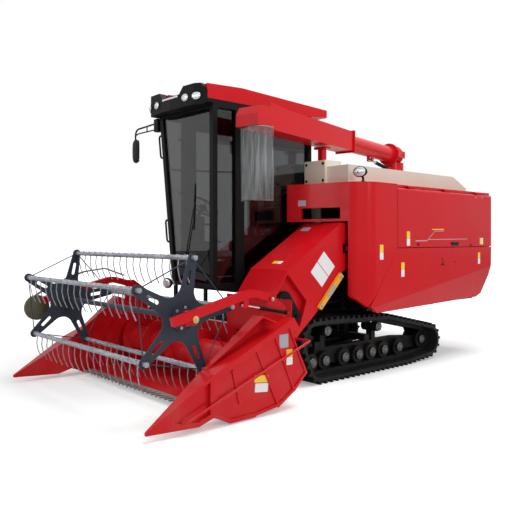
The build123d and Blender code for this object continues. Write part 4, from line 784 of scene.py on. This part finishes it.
# signs on the feeder house
FRONT = (0, 1, 0)
diamond_middle = Vector((BESIDE, -0.345, 1.205))
slope = Vector((0, 0.69, 0.72)).normalized()
for name, shift in (("upper", 0.075), ("lower", -0.075)):
    plate(f"feeder_plate_{name}", "feeder_house", diamond_middle + slope * shift, LEFT, 0.235, 0.142,
          LABEL_WHITE, "header", up=slope, corner=0.004)
plate("fascia_plate", "front_fascia", (0.40, -1.2, 1.925), FRONT, 0.10, 0.065, LABEL_GREY, "chassis")
DOWN = (0, 0, -1)
for name, x, y, width, height, material, corner in (
    ("grey", 0.47, -0.16, 0.12, 0.07, LABEL_GREY, 0.006),
    ("yellow", 0.60, -0.745, 0.07, 0.05, LABEL_YELLOW, 0.003),
    ("white", 0.67, -0.745, 0.055, 0.05, LABEL_WHITE, 0.003),
):
    plate(f"feeder_top_plate_{name}", "feeder_house", (x, y, 2.2), DOWN, width, height, material, "header",
          up=(0, 0.7, 0.7), corner=corner)
two_part_plate("feeder_side_sign", "feeder_house", (BESIDE, -0.83, 0.66), LEFT, 0.05, 0.12, "header",
               top=LABEL_WHITE, low=LABEL_YELLOW, up=(0, 0.6, 0.8))
# signs on the left divider
BEHIND_RAIL = 1.372          # between the divider's wall and the rail in front of it
plate("divider_plate_grey", "dividers", (BESIDE, -1.365, 0.62), LEFT, 0.11, 0.12, LABEL_GREY, "header")
two_part_plate("divider_sign_rear", "dividers", (BEHIND_RAIL, -1.295, 0.47), LEFT, 0.075, 0.14, "header")
for name, z, width, height, material in (("yellow", 0.325, 0.16, 0.06, LABEL_YELLOW),
                                         ("white", 0.25, 0.15, 0.075, LABEL_WHITE)):
    plate(f"divider_sign_{name}", "dividers", (BESIDE, -1.63, z), LEFT, width, height, material, "header",
          up=(0, 0.12, 1))

# the grey middle of the safety prop, and its bolts
prop_low, prop_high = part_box("safety_prop")
prop_run = Vector((0, prop_high.y - prop_low.y, prop_high.z - prop_low.z))
prop_middle = (prop_low + prop_high) / 2
place, _ = hit("safety_prop", (BESIDE, prop_middle.y, prop_middle.z), LEFT)
plate("prop_grey_band", "safety_prop", (BESIDE, prop_middle.y, prop_middle.z), LEFT, 0.045, 0.16, LABEL_GREY,
      "header", up=prop_run, corner=0.004)
ends = [prop_low + prop_run * part for part in (0.12, 0.88)]
bolts("prop_bolts", [(place.x, spot.y, spot.z) for spot in ends], (1, 0, 0), 0.013, STEEL, "header", "steel")

# ---------------------------------------------------------------- tracks: roller caps
CAST = bare_steel("roller_cap_metal", (0.16, 0.165, 0.17), 0.5)
ROLLER_Z = 0.203
ROLLER_CAP = ((0.052, -0.002), (0.052, 0.008), (0.044, 0.012), (0.030, 0.012), (0.026, 0.018), (0.010, 0.02))
CAP_BOLT_CIRCLE = 0.037
rollers = [(y, ROLLER_Z) for y in (-0.366, -0.156, 0.166, 0.409, 0.647, 0.880, 1.176)]
wheels = rollers + [(-0.13, 0.525), (0.76, 0.49), (1.65, 0.25), (-0.433, 0.455)]
for side, label in ((1, "left"), (-1, "right")):
    mesh = bmesh.new()
    for y, z in wheels:
        place, _ = hit("undercarriage", (side * 2.0, y, z), (-side, 0, 0))
        add_lathe(mesh, ROLLER_CAP, place, (side, 0, 0), 28)
        for step in range(6):
            angle = 2 * math.pi * step / 6
            out = Vector((0, math.cos(angle), math.sin(angle))) * CAP_BOLT_CIRCLE
            spot = place + Vector((side * 0.012, out.y, out.z))
            add_lathe(mesh, ((0.0065, 0.0), (0.0065, 0.006)), spot, (side, 0, 0), 6)
    from_bmesh(f"roller_caps_{label}", mesh, CAST, "chassis", "steel", smooth=False)

# ---------------------------------------------------------------- reel: tine clips, star bolts, hub bolt
REEL_AXIS = Vector((0, -2.25, 0.875))
REEL_RADIUS = 0.5
FIRST_BAT = 6.3              # degrees above level, behind the reel's axis
TINES = [-1.0 + 0.125 * step for step in range(17)]
CLIP = ((0.0222, 0.0), (0.0236, 0.001), (0.0236, 0.013), (0.0222, 0.014))
CLIP_WIDTH = CLIP[-1][1]
HUB_BOLT_CIRCLE = 0.085
for bat in range(5):
    angle = math.radians(FIRST_BAT + 72 * bat)
    centre = REEL_AXIS + Vector((0, REEL_RADIUS * math.cos(angle), REEL_RADIUS * math.sin(angle)))
    mesh = bmesh.new()
    for x in TINES:
        add_lathe(mesh, CLIP, centre + Vector((x - CLIP_WIDTH / 2, 0, 0)), (1, 0, 0), 20)
        stud = centre + Vector((x, -0.018, 0.018))
        add_lathe(mesh, ((0.006, 0.0), (0.006, 0.009)), stud, (0, -0.7, 0.7), 6)
    from_bmesh(f"tine_clips_{bat + 1}", mesh, MATERIALS["galvanised"], f"bat_{bat + 1}", "galvanised")

mesh = bmesh.new()
for side in (1, -1):
    for step in range(6):
        angle = 2 * math.pi * step / 6 + 0.3
        spot = REEL_AXIS + Vector((0, HUB_BOLT_CIRCLE * math.cos(angle), HUB_BOLT_CIRCLE * math.sin(angle)))
        face, _ = hit("reel_stars", (side * BESIDE, spot.y, spot.z), (-side, 0, 0))
        add_lathe(mesh, ((0.014, 0.0), (0.014, 0.003)), face, (side, 0, 0), 16)
        add_lathe(mesh, ((0.009, 0.003), (0.009, 0.010)), face, (side, 0, 0), 6)
from_bmesh("star_hub_bolts", mesh, STEEL, "reel", "steel", smooth=False)
arm_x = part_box("reel_arms")[1].x
for side in (1, -1):
    tag = "left" if side > 0 else "right"
    lathe(f"hub_bolt_{tag}", ((0.030, 0.0), (0.030, 0.004), (0.020, 0.005), (0.018, 0.016), (0.010, 0.018)),
          (side * arm_x, REEL_AXIS.y, REEL_AXIS.z), (side, 0, 0), BRASS, "reel_frame", "steel", 28)
    bolts(f"pivot_bolt_{tag}", [(side * 1.292, -1.43, 0.99)], (side, 0, 0), 0.011, STEEL, "header",
          "steel")

# ---------------------------------------------------------------- tank bolts
tank_low, tank_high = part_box("tank_front")
places = []
for x in (tank_low.x + 0.03, tank_high.x - 0.03):
    for z in (tank_low.z + 0.05, tank_high.z - 0.04):
        places.append((x, tank_low.y, z))
bolts("tank_bolts", places, (0, -1, 0), 0.011, **TRIM)

# ---------------------------------------------------------------- floor, light, camera
FLOOR_REACH = 60
GLOW_START, GLOW_END = 3.2, 9.0          # metres from the object's middle
# the low near value leaves the floor close to the machine darker, painted shade round it; the full far value
# whitens the floor into the backdrop
GLOW_NEAR, GLOW_FAR = 0.30, 1.0          # of the floor, for the camera's rays only
WORLD_LIGHT, WORLD_SEEN = 0.36, 1.0      # on the object, and as it is seen, mirrored or seen through glass
WHITE = (1, 1, 1, 1)

floor_mesh = bmesh.new()
bmesh.ops.create_grid(floor_mesh, x_segments=1, y_segments=1, size=FLOOR_REACH)
floor_data = bpy.data.meshes.new("floor")
floor_mesh.to_mesh(floor_data)
floor_mesh.free()
floor = bpy.data.objects.new("floor", floor_data)
bpy.context.scene.collection.objects.link(floor)
floor_shader = Shader("studio_floor", (0.90, 0.90, 0.90), 1.0)
floor_shader.bsdf.inputs["Specular IOR Level"].default_value = 0.0
path = floor_shader.node("ShaderNodeLightPath")
away = floor_shader.node("ShaderNodeVectorMath", operation="LENGTH")
floor_shader.link(floor_shader.coords, away.inputs[0])
# full camera-only lift far out makes the white backdrop; the weaker lift near the machine paints a darker halo
# of shade round it
backdrop_lift_and_painted_shade = floor_shader.remap(away.outputs["Value"], GLOW_START, GLOW_END, GLOW_NEAR, GLOW_FAR)
lift = floor_shader.math("MULTIPLY", path.outputs["Is Camera Ray"], backdrop_lift_and_painted_shade)
floor_shader.bsdf.inputs["Emission Color"].default_value = WHITE
floor_shader.link(lift, floor_shader.bsdf.inputs["Emission Strength"])
floor.data.materials.append(floor_shader.material)

world = bpy.data.worlds.new("studio")
world.use_nodes = True
bpy.context.scene.world = world
tree = world.node_tree
background = tree.nodes["Background"]
seen = tree.nodes.new("ShaderNodeLightPath")
total = seen.outputs["Is Camera Ray"]
for ray in ("Is Glossy Ray", "Is Transmission Ray"):
    most = tree.nodes.new("ShaderNodeMath")
    most.operation = "MAXIMUM"
    tree.links.new(total, most.inputs[0])
    tree.links.new(seen.outputs[ray], most.inputs[1])
    total = most.outputs["Value"]
strength = tree.nodes.new("ShaderNodeMapRange")
strength.inputs["To Min"].default_value = WORLD_LIGHT
strength.inputs["To Max"].default_value = WORLD_SEEN
tree.links.new(total, strength.inputs["Value"])
tree.links.new(strength.outputs["Result"], background.inputs["Strength"])
background.inputs["Color"].default_value = WHITE


def area_light(name, place, target, size, power):
    """A round lamp that faces a point: its size in metres and its power in watts."""
    data = bpy.data.lights.new(name, "AREA")
    data.shape = "DISK"
    data.size = size
    data.energy = power
    obj = bpy.data.objects.new(name, data)
    obj.location = place
    obj.rotation_euler = (Vector(target) - Vector(place)).to_track_quat("-Z", "Y").to_euler()
    bpy.context.scene.collection.objects.link(obj)


area_light("key_light", (2.0, 1.5, 9.0), (0, 0, 1.0), 6.0, 620)
area_light("side_light", (8.5, -2.0, 4.5), (0, 0, 1.2), 4.0, 190)
area_light("front_light", (-1.0, -9.0, 4.0), (0, -1, 1.2), 4.0, 130)

LENS_LENGTH, SENSOR_WIDTH = 43.86, 36.0
CAMERA_SHIFT = -17 / 512
CAMERA_PLACE = (5.335, -5.201, 1.522)
CAMERA_HEADING = 48.53

camera_data = bpy.data.cameras.new("camera")
camera_data.lens = LENS_LENGTH
camera_data.sensor_width = SENSOR_WIDTH
camera_data.shift_y = CAMERA_SHIFT
camera_data.clip_end = 200
camera = bpy.data.objects.new("camera", camera_data)
camera.location = CAMERA_PLACE
camera.rotation_euler = (math.radians(90), 0, math.radians(CAMERA_HEADING))
bpy.context.scene.collection.objects.link(camera)
bpy.context.scene.camera = camera
bpy.context.scene.view_settings.view_transform = "Standard"
